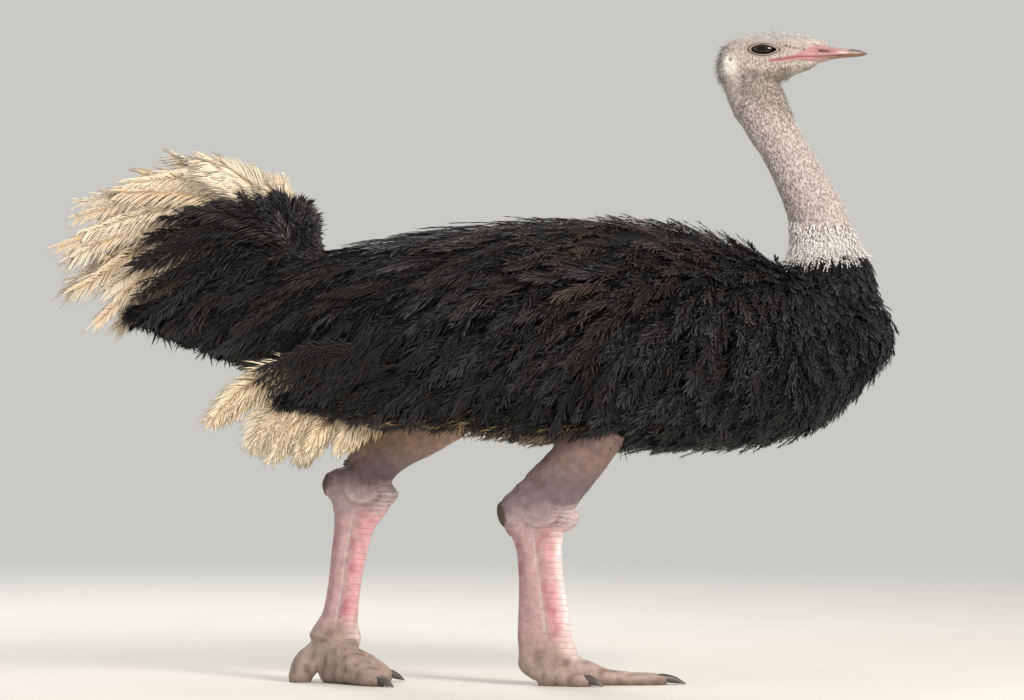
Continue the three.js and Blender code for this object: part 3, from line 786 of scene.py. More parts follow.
def legRelief(place, leg, name, ahead, aside, around):
    # relief in millimetres, tints and plates of one leg
    x, y, z = (place / mm).T
    tarsus = leg["tarsus"]
    top, ankle = tarsus[0][3] - 10, tarsus[-1][3] + 40
    shin = within(z, ankle - 15, ankle + 35, top - 10, top + 50)
    facing = np.abs(around)
    groovePlace = 106 - 13 * eased(-z, -top, -ankle) if name == "right" else 104 + 0 * z
    groove = bell(facing - groovePlace, 7) * shin
    plateMask = (1 - eased(facing, 62, 84)) * within(z, ankle - 52, ankle - 30, top - 5, top + 60)
    plates = z / skinPlan["scutePitch"] + 0.10 * np.cos(np.radians(around) * 2)
    plates += 0.05 * rippled(place, 60, 3)
    lift = bandLift(plates) * plateMask - 6.0 * groove
    lift += 3.0 * bell(facing - groovePlace - 22, 12) * shin

    # folds and knobs of the hock: a round boss on each side, loose folds across its front
    hockX, _, hockZ = leg["hock"][2][1:4]
    hock = bell(z - hockZ, 58, 4)
    knuckle = skinPlan["boss"]
    away = np.hypot((x - hockX - knuckle["ahead"]) / knuckle["long"],
                    (z - hockZ - knuckle["up"]) / knuckle["tall"])
    onSide = eased(np.abs(aside), 0.25, 0.6)
    boss = (1 - eased(away, 0.35, 1.2)) * onSide
    below = bell(away - 1.16, 0.14) * onSide * (1 - eased(z, hockZ - 12, hockZ + 16))
    hollow = bell(facing - 122, 20) * bell(z - hockZ - 10, 46)
    lift += knuckle["lift"] * boss - 2.6 * below - 5.0 * hollow * hock
    foldMask = within(z, hockZ - 90, hockZ - 62, hockZ + 26, hockZ + 46)
    foldMask *= (1 - eased(facing, 62, 92)) * (1 - 0.8 * boss)
    fold = z / skinPlan["foldPitch"] + 0.22 * rippled(place, 50, 12)
    creases = bell(np.abs(fold - np.round(fold)), 0.13) * foldMask
    lift += (bandLift(fold) + 0.3) * 1.9 * foldMask
    lift += rippled(place * [1, 1, 0.8], 34, 13) * hock
    lift -= 15 * bell(z - hockZ - 98, 30) * eased(facing, 110, 150)
    tendon = bell(facing - 150, 20) * eased(z, hockZ + 30, hockZ + 90)
    tendon *= 1 - eased(z, hockZ + 190, hockZ + 260)
    lift += 3.0 * tendon
    shank = eased(z, hockZ + 50, hockZ + 90)
    top, low = np.array(leg["shank"][0][1:4]), np.array(leg["shank"][4][1:4])
    axis = unit(top - low)
    along = x * axis[0] + z * axis[2]
    across = x * axis[2] - z * axis[0]
    streaks = rippled(np.stack([along * 0.22, y, across], axis=1) * mm, 15, 24)
    lift += shank * (streaks * 0.9 + rippled(place, 46, 15) * 0.9 + rippled(place, 11, 22) * 0.35)

    # horny pad behind the hock
    px, py, pz, rx, ry, rz = leg["pad"]
    pad = 1 - eased(np.sqrt(((x - px) / rx) ** 2 + ((y - py) / ry) ** 2 + ((z - pz) / rz) ** 2), 0.86, 1.0)
    lift += pad * 4.5

    # foot: rings over the toes, a fold round the ankle
    foot = 1 - eased(z, ankle - 20, ankle + 30)
    toePlates, toeMask = np.zeros(len(z)), np.zeros(len(z))
    for toe in leg["toes"]:
        along, off = alongToe(place, toe)
        wide = between(toe["rows"], along)[:, 3]
        on = (np.abs(off) < wide + 6) * eased(along, toe["clawAt"] * 0.25, toe["clawAt"] * 0.25 + 50)
        better = on > toeMask
        toeMask = np.where(better, on, toeMask)
        toePlates = np.where(better, along / skinPlan["toePitch"] + 0.3 * rippled(place, 34, 4), toePlates)
    toeMask *= foot * within(z, 12, 30, 54, 76)
    lift += bandLift(toePlates) * toeMask * 0.4
    ring = np.sin(z * 2 * math.pi / 11 + 1.1 * rippled(place, 70, 16)) * bell(z - ankle + 8, 36)
    lift += ring * 0.9 * eased(ahead, -0.6, 0.1)
    lift += foot * rippled(place, 26, 17) * 0.9
    plates = np.where(toeMask > plateMask, toePlates, plates)
    mask = np.where(toeMask > plateMask, toeMask * 0.6, plateMask)
    flush = eased(rippled(place * [1, 1, 0.45], 42, 21), 0.1, 1.1)

    redness = np.clip(0.5 + 0.35 * rippled(place, 60, 18) + (name == "left") * 0.3, 0, 1)
    blotched = rippled(place, 34, 23)
    weights = [
        # the far leg's shank, paler on the side towards the camera: painted light to offset its shade
        ("shankFar", (name == "left") * (1 - eased(aside, 0.0, 0.9)) * 0.9 + 0 * z),
        ("shankLow", eased(hockZ + 190 - z + 16 * blotched, 0, 140)),
        ("shankBlue", shank * eased(streaks, 0.0, 1.6) * 0.7),
        ("hock", eased(hockZ + 66 - z + 16 * blotched, 0, 84)),
        ("shinPale", foldMask * (1 - eased(facing, 30, 80)) * 0.55),
        ("shinPale", bell(away - 0.9, 0.2) * onSide * (1 - eased(z, hockZ - 10, hockZ + 30)) * 0.35),
        # darker in the folds' creases and in the groove under each boss: painted shade
        ("crease", np.clip(creases * 0.6 + below * 0.45, 0, 1)),
        ("shinRed", shin * eased(facing, 130, 152) * 0.4),
        ("shinSide", shin),
        ("shinPlate", shin * (1 - eased(facing, 50, 100)) * redness),
        ("shinPale", shin * (1 - eased(facing, 22, 66)) * (0.85 if name == "right" else 0.2)),
        ("shinRed", shin * flush * 0.55 * (bell(facing - 160, 22) + bell(facing - groovePlace + 26, 20))),
        ("shinPale", bell(facing - groovePlace + 4, 4) * shin * 0.6),
        ("ankle", 1 - eased(z + 12 * blotched, ankle - 20, ankle + 70)),
        ("foot", 1 - eased(z + 12 * blotched, ankle - 60, ankle + 10)),
        ("shinPale", bell(z - ankle + 12, 40) * (1 - eased(facing, 30, 75)) * 0.5),
        ("footDark", eased(rippled(place, 40, 19), -0.1, 1.5) * foot * 0.7),
        ("footDark", (1 - eased(z, 2, 26)) * 0.6),
        ("padHorn", pad),
    ]
    return lift, weights, plates, mask


def skinFinish():
    # bare, keratin-scaled skin over soft tissue: satin, faintly blotched, with plates, pebbles and pores
    finish, add = newFinish("bare scaled skin")
    place = add("ShaderNodeTexCoord").outputs["Object"]
    tint = add("ShaderNodeAttribute", attribute_name="tint")
    scute, scuteMask, pebble, downy, lid = [add("ShaderNodeAttribute", attribute_name=name).outputs["Fac"]
                                            for name in ("scute", "scuteMask", "pebble", "downy", "lid")]

    blotch = add("ShaderNodeTexNoise", {"Vector": place, "Scale": 38.0, "Detail": 5.0})
    blotchTone = add("ShaderNodeMapRange", {
        "Value": blotch, "From Min": 0.3, "From Max": 0.7, "To Min": 0.80, "To Max": 1.16})
    toned = add("ShaderNodeVectorMath", {0: tint, "Scale": blotchTone}, operation="SCALE")

    # plates: pale faces between thin, redder seams; a seam lies at each whole number
    part = add("ShaderNodeMath", {0: scute}, operation="FRACT")
    centred = add("ShaderNodeMath", {0: part, 1: 0.5}, operation="SUBTRACT")
    outward = add("ShaderNodeMath", {0: centred}, operation="ABSOLUTE")
    rim = add("ShaderNodeMapRange", {
        "Value": outward, "From Min": 0.41, "From Max": 0.49}, interpolation_type="SMOOTHSTEP")
    rimOn = add("ShaderNodeMath", {0: rim, 1: scuteMask}, operation="MULTIPLY")
    rimShare = add("ShaderNodeMath", {0: rimOn, 1: 0.55}, operation="MULTIPLY")
    plated = add("ShaderNodeMix", {0: rimShare, 6: toned, 7: hexColour("a8565c")}, data_type="RGBA")

    # pebbled scales, 5 mm across on the legs; they show as pale cells in darker skin
    cells = add("ShaderNodeTexVoronoi", {"Vector": place, "Scale": 190.0}, feature="DISTANCE_TO_EDGE")
    seam = add("ShaderNodeMapRange", {
        "Value": cells, "From Min": 0.0, "From Max": 0.16, "To Min": 1.0, "To Max": 0.0})
    unplated = add("ShaderNodeMath", {0: 1.0, 1: scuteMask}, operation="SUBTRACT")
    pebbled = add("ShaderNodeMath", {0: pebble, 1: unplated}, operation="MULTIPLY")
    seamOn = add("ShaderNodeMath", {0: seam, 1: pebbled}, operation="MULTIPLY")
    seamShare = add("ShaderNodeMath", {0: seamOn, 1: 0.42}, operation="MULTIPLY")
    seamed = add("ShaderNodeMix", {0: seamShare, 6: plated, 7: hexColour("6d5049")}, data_type="RGBA")

    # stubby quills, about 4 mm apart: pale flecks lying down the neck, over darker skin
    along = add("ShaderNodeMapping", {"Vector": place, "Scale": (1.0, 1.0, 0.55)})
    flecks = add("ShaderNodeTexNoise", {"Vector": along, "Scale": 175.0, "Detail": 2.0})
    fleck = add("ShaderNodeMapRange", {
        "Value": flecks, "From Min": 0.43, "From Max": 0.58, "To Min": 0.0, "To Max": 0.8})
    fleckOn = add("ShaderNodeMath", {0: fleck, 1: downy}, operation="MULTIPLY")
    flecked = add("ShaderNodeMix", {0: fleckOn, 6: seamed, 7: hexColour("cdc1bb")}, data_type="RGBA")

    # lids: a pale rim, a dark crease, a paler fold and a dark outer line
    rings = add("ShaderNodeMapRange", {"Value": lid, "From Min": 0.5, "From Max": 2.5})
    ramp = add("ShaderNodeValToRGB", {"Fac": rings})
    setStops(ramp, [
        (0.0, "120d0c"), (0.235, "1a1311"), (0.262, "a8968c"), (0.30, "b9a79d"), (0.335, "54463f"),
        (0.375, "3b302c"), (0.42, "9c8d84"), (0.49, "a99b91"), (0.55, "6e6059"), (0.80, "978a80")])
    lidShare = add("ShaderNodeMapRange", {
        "Value": lid, "From Min": 1.30, "From Max": 1.70, "To Min": 1.0, "To Max": 0.0})
    colour = add("ShaderNodeMix", {0: lidShare, 6: flecked, 7: ramp}, data_type="RGBA")

    # relief: pebbles, then pores and fine lines about 1.5 mm apart
    pores = add("ShaderNodeTexNoise", {"Vector": place, "Scale": 520.0, "Detail": 3.0})
    lines = add("ShaderNodeTexNoise", {
        "Vector": add("ShaderNodeMapping", {"Vector": place, "Scale": (1.0, 1.0, 3.2)}),
        "Scale": 120.0, "Detail": 4.0, "Distortion": 0.6})
    fine = add("ShaderNodeMath", {0: pores, 1: lines}, operation="ADD")
    dips = add("ShaderNodeMath", {0: seamOn, 1: -0.9, 2: fine}, operation="MULTIPLY_ADD")
    relief = add("ShaderNodeBump", {"Height": dips, "Strength": 0.7, "Distance": 0.0016})
    gloss = add("ShaderNodeMapRange", {"Value": scuteMask, "To Min": 0.66, "To Max": 0.45})
    body = add("ShaderNodeBsdfPrincipled", {
        "Base Color": colour, "Roughness": gloss, "Normal": relief, "Specular IOR Level": 0.4, "IOR": 1.45})
    add("ShaderNodeOutputMaterial", {"Surface": body})
    return finish


skin = makeSkin()
report(f"skin has {len(skin.data.polygons)} faces")
finished(skin, skinFinish(), "neck_skin", "trunk", "rump", "neck_base", "neck_lower", "neck_middle",
         "neck_upper", "head", *[f"{part}_{side}" for side in ("left", "right")
                                 for part in ("shank", "hock", "tarsus", "toe_large", "toe_small")],
         "heel_left")


# Plumes: thin closed blades joined into vanes

def bladeFaces(sections):
    # faces of one blade: a base edge, three-cornered sections and a point
    faces = [(0, 2, 4), (0, 4, 1), (1, 4, 3), (0, 1, 3), (0, 3, 2)]
    for section in range(sections - 1):
        left, right, crest = 2 + 3 * section, 3 + 3 * section, 4 + 3 * section
        farLeft, farRight, farCrest = left + 3, right + 3, crest + 3
        faces += [(left, farLeft, farCrest), (left, farCrest, crest), (crest, farCrest, farRight),
                  (crest, farRight, right), (left, right, farRight), (left, farRight, farLeft)]
    left, right, crest = 3 * sections - 1, 3 * sections, 3 * sections + 1
    tip = 3 * sections + 2
    return np.array(faces + [(left, tip, crest), (crest, tip, right), (left, right, tip)])


def blades(spine, up, width, ridge):
    # spine and up are (n, stations, 3), width and ridge (n, stations), all in metres
    count, stations = spine.shape[:2]
    sections = stations - 2
    ahead = unit(np.gradient(spine, axis=1))
    half = unit(np.cross(up, ahead)) * width[..., None] / 2
    left, right, crest = spine - half, spine + half, spine + up * ridge[..., None]
    points = np.empty((count, 3 * sections + 3, 3))
    points[:, 0], points[:, 1] = left[:, 0], right[:, 0]
    for section in range(sections):
        points[:, 2 + 3 * section] = left[:, section + 1]
        points[:, 3 + 3 * section] = right[:, section + 1]
        points[:, 4 + 3 * section] = crest[:, section + 1]
    points[:, -1] = spine[:, -1]
    faces = bladeFaces(sections)[None] + (np.arange(count) * points.shape[1])[:, None, None]
    station = np.concatenate([[0, 0], np.repeat(np.arange(1, sections + 1), 3), [sections + 1]])
    return points, faces.reshape(-1, 3), station / (sections + 1)


def acrossBlade(sections):
    # side of each point of a blade: its left edge, its right edge or between them
    return np.concatenate([[-1, 1], np.tile([-1, 1, 0], sections), [0]])


def onPath(values, share):
    # values (n, stations, 3) at shares (n, m) of the way along
    last = values.shape[1] - 1
    at = np.clip(share, 0, 1) * last
    low = np.minimum(at.astype(int), last - 1)
    part = (at - low)[..., None]
    rows = np.arange(len(values))[:, None]
    return values[rows, low] * (1 - part) + values[rows, low + 1] * part


class Coat:
    # gathers blades of many plumes, then makes one mesh of them

    def __init__(self):
        self.points, self.faces, self.colours, self.places, self.strands = [], [], [], [], []
        self.count = 0

    def add(self, blade, colours, places):
        # colours (n, points, 3), places (n, points, 2) on the bake map
        points, faces, _ = blade
        across = acrossBlade(points.shape[1] // 3 - 1)
        self.strands.append((across[None] + np.arange(len(points))[:, None] * 7.31 % 89).ravel())
        self.faces.append(faces + self.count)
        self.count += points.shape[0] * points.shape[1]
        self.points.append(points.reshape(-1, 3))
        self.colours.append(colours.reshape(-1, 3))
        self.places.append(places.reshape(-1, 2))

    def made(self, name):
        obj = meshObject(name, np.concatenate(self.points), np.concatenate(self.faces))
        giveColours(obj.data, "tint", np.concatenate(self.colours))
        giveNumbers(obj.data, "strand", np.concatenate(self.strands))
        giveBakeMap(obj.data, np.concatenate(self.places))
        report(f"{name}: {len(obj.data.polygons)} triangles")
        return obj


def addPlumes(coat, paths, ups, half, kind, colours, places, source):
    # paths and ups (n, stations, 3): the shafts and the plumes' faces; half (n,): barb reach in metres;
    # colours: dict of (n, 3) arrays shaft, vane and tip; places (n, 2): roots on the bake map
    count = len(paths)
    patch = 0.0015
    sway = source.normal(0, kind["sway"], (2, count, 1, 1))  # the way that all of a plume's barbs bend

    # the shaft
    stations = kind["shaftSections"] + 2
    along = np.linspace(0, 1, stations)[None].repeat(count, 0)
    spine, up = onPath(paths, along), unit(onPath(ups, along))
    taper = np.concatenate([[1.0], np.linspace(1.0, 0.35, stations - 2), [0]])[None]
    width = kind["shaft"] * taper * np.ones((count, 1))
    blade = blades(spine, up, width, width * 0.55)
    share = blade[2]
    tint = colours["shaft"][:, None] * np.ones((1, len(share), 1))
    edge = acrossBlade(stations - 2) * 0.06
    place = places[:, None] + patch * np.stack([2 * share - 1, edge], axis=1)[None]
    coat.add(blade, tint, place)

    # the barbs, one row on each side
    barbs = kind["barbs"]
    for side in (-1, 1):
        row = np.linspace(kind["from"], 0.985, barbs)[None] + source.normal(0, 0.22 / barbs, (count, barbs))
        row = np.clip(row, 0.02, 0.995)
        root = onPath(paths, row)
        forward = unit(onPath(np.gradient(paths, axis=1), row))
        up = unit(onPath(ups, row))
        aside = np.cross(up, forward) * side
        swell = (0.45 + 0.55 * eased(row, 0, 0.28)) * (1 - kind["taper"] * row ** 3)
        reach = half[:, None] * swell * source.uniform(0.72, 1.18, (count, barbs))
        angle = np.radians(kind["open"] + (kind["close"] - kind["open"]) * row
                           + source.normal(0, kind["stray"], (count, barbs)))[..., None]
        start = forward * np.cos(angle) + aside * np.sin(angle)
        loft = kind["loft"] + sway[0] * 0.6 + source.normal(0, kind["curl"], (count, barbs, 1))
        bend = forward * kind["sweep"] + up * loft
        down = np.array([0, 0, -1.0]) * kind["sag"]
        down = down - up * np.minimum((down * up).sum(axis=-1, keepdims=True), 0)
        bend = bend + down + aside * (side * sway[1] + source.normal(0, kind["curl"], (count, barbs, 1)))
        steps = kind["sections"] + 1
        spine = [root]
        for step in range(steps):
            heading = unit(start + bend * step / max(steps - 1, 1))
            spine.append(spine[-1] + heading * (reach / steps)[..., None])
        spine = np.stack(spine, axis=2).reshape(count * barbs, steps + 1, 3)
        tilt = unit(up + aside * kind["tilt"] + source.normal(0, kind["ruffle"], up.shape))
        tilt = np.repeat(tilt.reshape(-1, 1, 3), steps + 1, axis=1)
        swath = np.array([0.55] + [1.0] + [0.8] * (steps - 2) + [0])
        wide = (kind["width"] * source.uniform(0.7, 1.3, (count * barbs, 1))) * swath[None]
        blade = blades(spine, tilt, wide, wide * kind["ridge"])
        share = blade[2]
        # colour runs from the vane tone near the shaft and root to the tip tone at the barbs' ends: partly
        # the barbs' own colour, partly painted shade where plumes overlap and painted light on the exposed
        # tips
        mix = (share[None, None, :, None] * (0.35 + 0.65 * row[..., None, None])) ** kind["tipBlend"]
        vane = colours["vane"][:, None, None] * (1 - mix) + colours["tip"][:, None, None] * mix
        vane = vane * source.uniform(1 - kind["fleck"], 1 + kind["fleck"], (count, barbs, 1, 1))
        edge = acrossBlade(steps - 1) * 0.08
        across = side * (0.1 + 0.85 * share[None, None]) + 0 * row[..., None]
        lengthwise = (2 * row[..., None] - 1) * 0.9 + edge[None, None]
        place = places[:, None, None] + patch * np.stack([lengthwise, across], axis=-1)
        coat.add(blade, vane.reshape(count * barbs, -1, 3), place.reshape(count * barbs, -1, 2))


def plumeFinish(name, gloss, sheen, fibre, bump):
    # loose, unhooked barbs: matt to satin, each strand a little lighter or darker than the next
    finish, add = newFinish(name)
    tint = add("ShaderNodeAttribute", attribute_name="tint")
    strand = add("ShaderNodeAttribute", attribute_name="strand").outputs["Fac"]
    strands = add("ShaderNodeTexNoise", {"W": strand, "Scale": fibre, "Detail": 2.0}, noise_dimensions="1D")
    tone = add("ShaderNodeMapRange", {
        "Value": strands, "From Min": 0.3, "From Max": 0.7, "To Min": 0.78, "To Max": 1.2})
    colour = add("ShaderNodeVectorMath", {0: tint, "Scale": tone}, operation="SCALE")
    relief = add("ShaderNodeBump", {"Height": strands, "Strength": bump, "Distance": 0.0012})
    body = add("ShaderNodeBsdfPrincipled", {
        "Base Color": colour, "Roughness": gloss, "Normal": relief, "Specular IOR Level": 0.3,
        "Sheen Weight": sheen, "Sheen Roughness": 0.4, "IOR": 1.54})
    add("ShaderNodeOutputMaterial", {"Surface": body})
    return finish


# The black coat of the body, laid along its outer shape from head end to rump

coatPlan = {
    "seed": {"under": 7, "top": 8},
    "spacing": {"under": 0.53, "top": 0.94},  # between roots, as a share of a plume's mean size
    "raise": {"under": -6, "top": 8},
    "stations": 8,
    "collarAt": (1030, 1392),  # x and z beyond which the neck's own feathers take over
    "rootDepth": 34, "mapEdge": 0.02, "perPiece": {"under": 1050, "top": 250}, "clump": 150, "swirl": 85,
    # grey: the plumes' tip grey, partly painted sheen highlight
    "black": "060608", "warm": "1d140f", "tip": "55402f", "grey": "5a5a62", "shaft": "80614b",
    "down": "a08658", "downTip": "bda478",
}
coatPlaces = [  # x, z, length, half width, fall in degrees, stray, lift, curl, warmth
    [-1000, 1230, 220, 34, 30, 8, 6, 0.10, 0.20], [-700, 1350, 260, 34, 19, 6, 5, 0.08, 0.35],
    [-300, 1450, 280, 34, 15, 6, 5, 0.08, 0.40], [100, 1500, 250, 34, 14, 8, 6, 0.12, 0.45],
    [450, 1510, 180, 33, 17, 18, 8, 0.30, 0.80], [740, 1450, 120, 31, 22, 34, 18, 0.60, 1.00],
    [920, 1380, 105, 28, 34, 36, 34, 0.70, 0.55], [-950, 1130, 210, 36, 46, 12, 7, 0.14, 0.05],
    [-700, 1060, 220, 38, 50, 12, 7, 0.18, 0.05], [-300, 1180, 250, 38, 27, 9, 6, 0.14, 0.12],
    [100, 1220, 220, 38, 30, 12, 7, 0.20, 0.16], [500, 1250, 175, 37, 34, 17, 12, 0.35, 0.45],
    [-300, 900, 180, 36, 46, 13, 7, 0.30, 0.04], [200, 880, 155, 36, 48, 18, 10, 0.35, 0.05],
    [600, 960, 140, 34, 54, 22, 13, 0.45, 0.08], [850, 1130, 118, 32, 54, 26, 14, 0.50, 0.16],
    [1050, 900, 105, 29, 60, 28, 16, 0.50, 0.03], [1210, 1120, 92, 26, 76, 26, 15, 0.50, 0.03],
    [600, 790, 130, 32, 42, 22, 9, 0.40, 0.06], [1140, 1270, 56, 15, 86, 16, 3, 0.35, 0.02],
    [1130, 1370, 40, 10, 88, 14, 2, 0.25, 0.02],
]
blackPlume = {
    "shaft": 0.0022, "shaftSections": 3, "barbs": 11, "from": 0.12, "sections": 1, "open": 46, "close": 18,
    "stray": 8, "taper": 0.45, "sweep": 0.55, "sag": 0.35, "loft": 0.05, "curl": 0.16, "tilt": 0.30,
    "ruffle": 0.16, "width": 0.0092, "ridge": 0.16, "tipBlend": 1.6, "fleck": 0.25, "sway": 0.22,
}
plumeTiers = {  # long and sleek, looser, short and curly
    "under": (
        {"barbs": 10, "stray": 6, "curl": 0.08, "open": 27, "close": 10, "reach": 2.1, "width": 0.0066,
         "sag": 0.30},
        {"barbs": 9, "stray": 10, "curl": 0.20, "open": 36, "close": 16, "reach": 1.7, "width": 0.0066,
         "sag": 0.40},
        {"barbs": 8, "stray": 16, "curl": 0.45, "open": 46, "close": 22, "reach": 1.4, "width": 0.0060,
         "sag": 0.35},
    ),
    "top": (
        {"barbs": 27, "stray": 4, "curl": 0.06, "open": 34, "close": 12, "reach": 2.3, "width": 0.0056,
         "sag": 0.50, "sections": 2, "shaft": 0.0030, "shaftSections": 5, "loft": 0.02, "from": 0.05},
        {"barbs": 22, "stray": 7, "curl": 0.14, "open": 40, "close": 16, "reach": 1.9, "width": 0.0058,
         "sag": 0.50, "sections": 2, "shaft": 0.0028, "shaftSections": 4, "loft": 0.03, "from": 0.06},
        {"barbs": 16, "stray": 14, "curl": 0.38, "open": 52, "close": 30, "reach": 1.6, "width": 0.0056,
         "sag": 0.35, "sections": 2, "shaft": 0.0024, "shaftSections": 3, "loft": 0.06, "from": 0.08,
         "sway": 0.4},
    ),
}


def outerShape():
    # one smooth body through the frame's coat-bearing parts
    points, faces, count = [], [], 0
    for name in ("trunk", "rump", "wing_left", "wing_right", "neck_base"):
        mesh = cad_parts[name].data
        corners = np.array([p.vertices[:] for p in mesh.polygons])
        points.append(pointsOf(mesh))
        faces.append(corners + count)
        count += len(points[-1])
    stumpPoints, stumpFaces = stumpBody(-14)
    points.append(stumpPoints)
    groups = [np.concatenate(faces), stumpFaces[0] + count, stumpFaces[1] + count]
    shape = meshObject("outer shape", np.concatenate(points), groups)
    merge = shape.modifiers.new("merge", "WELD")
    merge.merge_threshold = 0.0001
    remesh = shape.modifiers.new("remesh", "REMESH")
    remesh.mode = "VOXEL"
    remesh.voxel_size = 0.014
    smooth = shape.modifiers.new("smooth", "SMOOTH")
    smooth.factor = 0.5
    smooth.iterations = 6
    mesh = applied(shape)
    bpy.data.objects.remove(shape)
    return mesh


def surfaceRoots(mesh, spacingAt, source, tries=60000):
    # roots strewn over a mesh, no two closer than the spacing there
    mesh.calc_loop_triangles()
    points = pointsOf(mesh)
    a, b, c = [points[ends] for ends in cornersOf(mesh.loop_triangles, "vertices", 3).T]
    area = np.linalg.norm(np.cross(b - a, c - a), axis=1)
    pick = source.choice(len(area), tries, p=area / area.sum())
    u, v = source.random((2, tries, 1))
    flip = u + v > 1
    u, v = np.where(flip, 1 - u, u), np.where(flip, 1 - v, v)
    strewn = a[pick] + (b[pick] - a[pick]) * u + (c[pick] - a[pick]) * v
    spacing = spacingAt(strewn)
    cell = float(np.nanmax(spacing))
    kept, grid = [], {}
    for index, (point, space) in enumerate(zip(strewn, spacing)):
        if not space > 0:
            continue
        key = tuple(int(k) for k in np.floor(point / cell))
        near = [other for i in (-1, 0, 1) for j in (-1, 0, 1) for k in (-1, 0, 1)
                for other in grid.get((key[0] + i, key[1] + j, key[2] + k), ())]
        if near and np.min(np.sum((strewn[near] - point) ** 2, axis=1)) < space ** 2:
            continue
        grid.setdefault(key, []).append(index)
        kept.append(index)
    return strewn[kept]


def coatAt(points):
    # the table of coat places, blended over the side view
    table = np.array(coatPlaces, float)
    gap = (points[:, None, [0, 2]] / mm - table[None, :, :2]) * [1, 1.35]
    weight = 1 / ((gap ** 2).sum(axis=2) + 60 ** 2) ** 2
    weight /= weight.sum(axis=1, keepdims=True)
    return (weight @ table[:, 2:]).T


def bodyMap(points):
    # an unwrap of the body: along it, and round it
    x, y, z = (points / mm).T
    around = np.arctan2(y, z - 1130) / (2 * math.pi) + 0.5
    edge = coatPlan["mapEdge"]
    return np.stack([edge + (1 - 2 * edge) * (x + 1400) / 2800, edge + (1 - 2 * edge) * around], axis=1)


def nearestOn(tree, points):
    hits = [tree.find_nearest(Vector(p)) for p in points]
    return np.array([hit[0] for hit in hits]), np.array([hit[1] for hit in hits])


def tangentTo(normals, vectors):
    return unit(vectors - normals * (vectors * normals).sum(axis=-1, keepdims=True))


def turned(vectors, axes, angle):
    # vectors turned about unit axes that are square to them
    return vectors * np.cos(angle)[:, None] + np.cross(axes, vectors) * np.sin(angle)[:, None]


def layPlumes(tree, roots, length, fall, stray, lift, source):
    # shafts that follow the surface down the lie of the coat, from root depth up to its outside
    stations = coatPlan["stations"]
    count = len(roots)
    point, normal = nearestOn(tree, roots)
    clump = rippled(roots * [0.8, 1, 1.3], coatPlan["clump"], 52)
    swirl = rippled(roots, coatPlan["swirl"], 54)
    turn = source.normal(0, 0.8, count) * stray + clump * (3 + stray * 0.6) + swirl * stray * 0.5
    bendRate = np.radians(source.normal(0, 1, count) * stray * 0.55) / stations
    droop = source.uniform(0, 120, count) * eased(-roots[:, 0], 0.45, 0.80)
    path, face = [point], [normal]
    for step in range(stations - 1):
        slope = np.radians(fall + 9 * step / stations + droop * max(step / stations - 0.45, 0))
        spread = 0.30 * np.sign(point[:, 1]) * np.clip(normal[:, 2], 0, 1)
        lie = tangentTo(normal, np.stack([-np.cos(slope), spread, -np.sin(slope)], axis=1))
        lie = turned(lie, normal, np.radians(turn) + bendRate * step)
        free = point + lie * (length / (stations - 1))[:, None]
        point, normal = nearestOn(tree, free)
        loose = 0.35 * (step > stations * 0.55)
        point = free * loose + point * (1 - loose)
        path.append(point)
        face.append(normal)
    path, face = np.stack(path, axis=1), np.stack(face, axis=1)
    share = np.linspace(0, 1, stations)[None]
    depth = coatPlan["rootDepth"] * np.minimum(length / 0.20, 1)[:, None]
    height = -depth * (1 - share) ** 1.3 + lift[:, None] * (0.75 * share ** 1.6 - 0.2)
    height += (source.normal(0, 3.0, count) + 4 * rippled(roots, coatPlan["clump"], 53)
               + 4 * rippled(roots, coatPlan["swirl"], 55))[:, None] * share
    return path + face * height[..., None] * mm, face


def blackTones(count, warmth, bright, source):
    # linear colours of black plumes: browner with warmth, paler and greyer at the tips; the grey at the
    # tips is partly the barbs' paler edges, partly painted sheen highlight
    names = ("black", "warm", "tip", "grey", "shaft")
    black, warmTone, tipTone, grey, shaftTone = [linear(coatPlan[name]) for name in names]
    vane = (black + (warmTone - black) * warmth) * bright
    gleam = (grey - black) * source.uniform(0, 1, (count, 1)) ** 2 * (1 - 0.5 * warmth)
    shaftShare = np.clip(warmth * 1.1 + 0.03, 0, 1) * source.uniform(0, 1, (count, 1)) ** 1.5
    return {
        "vane": vane,
        "tip": vane + gleam + (tipTone - black) * warmth * source.uniform(0, 1, (count, 1)) ** 1.5,
        "shaft": black * 1.5 + (shaftTone - black) * shaftShare,
    }


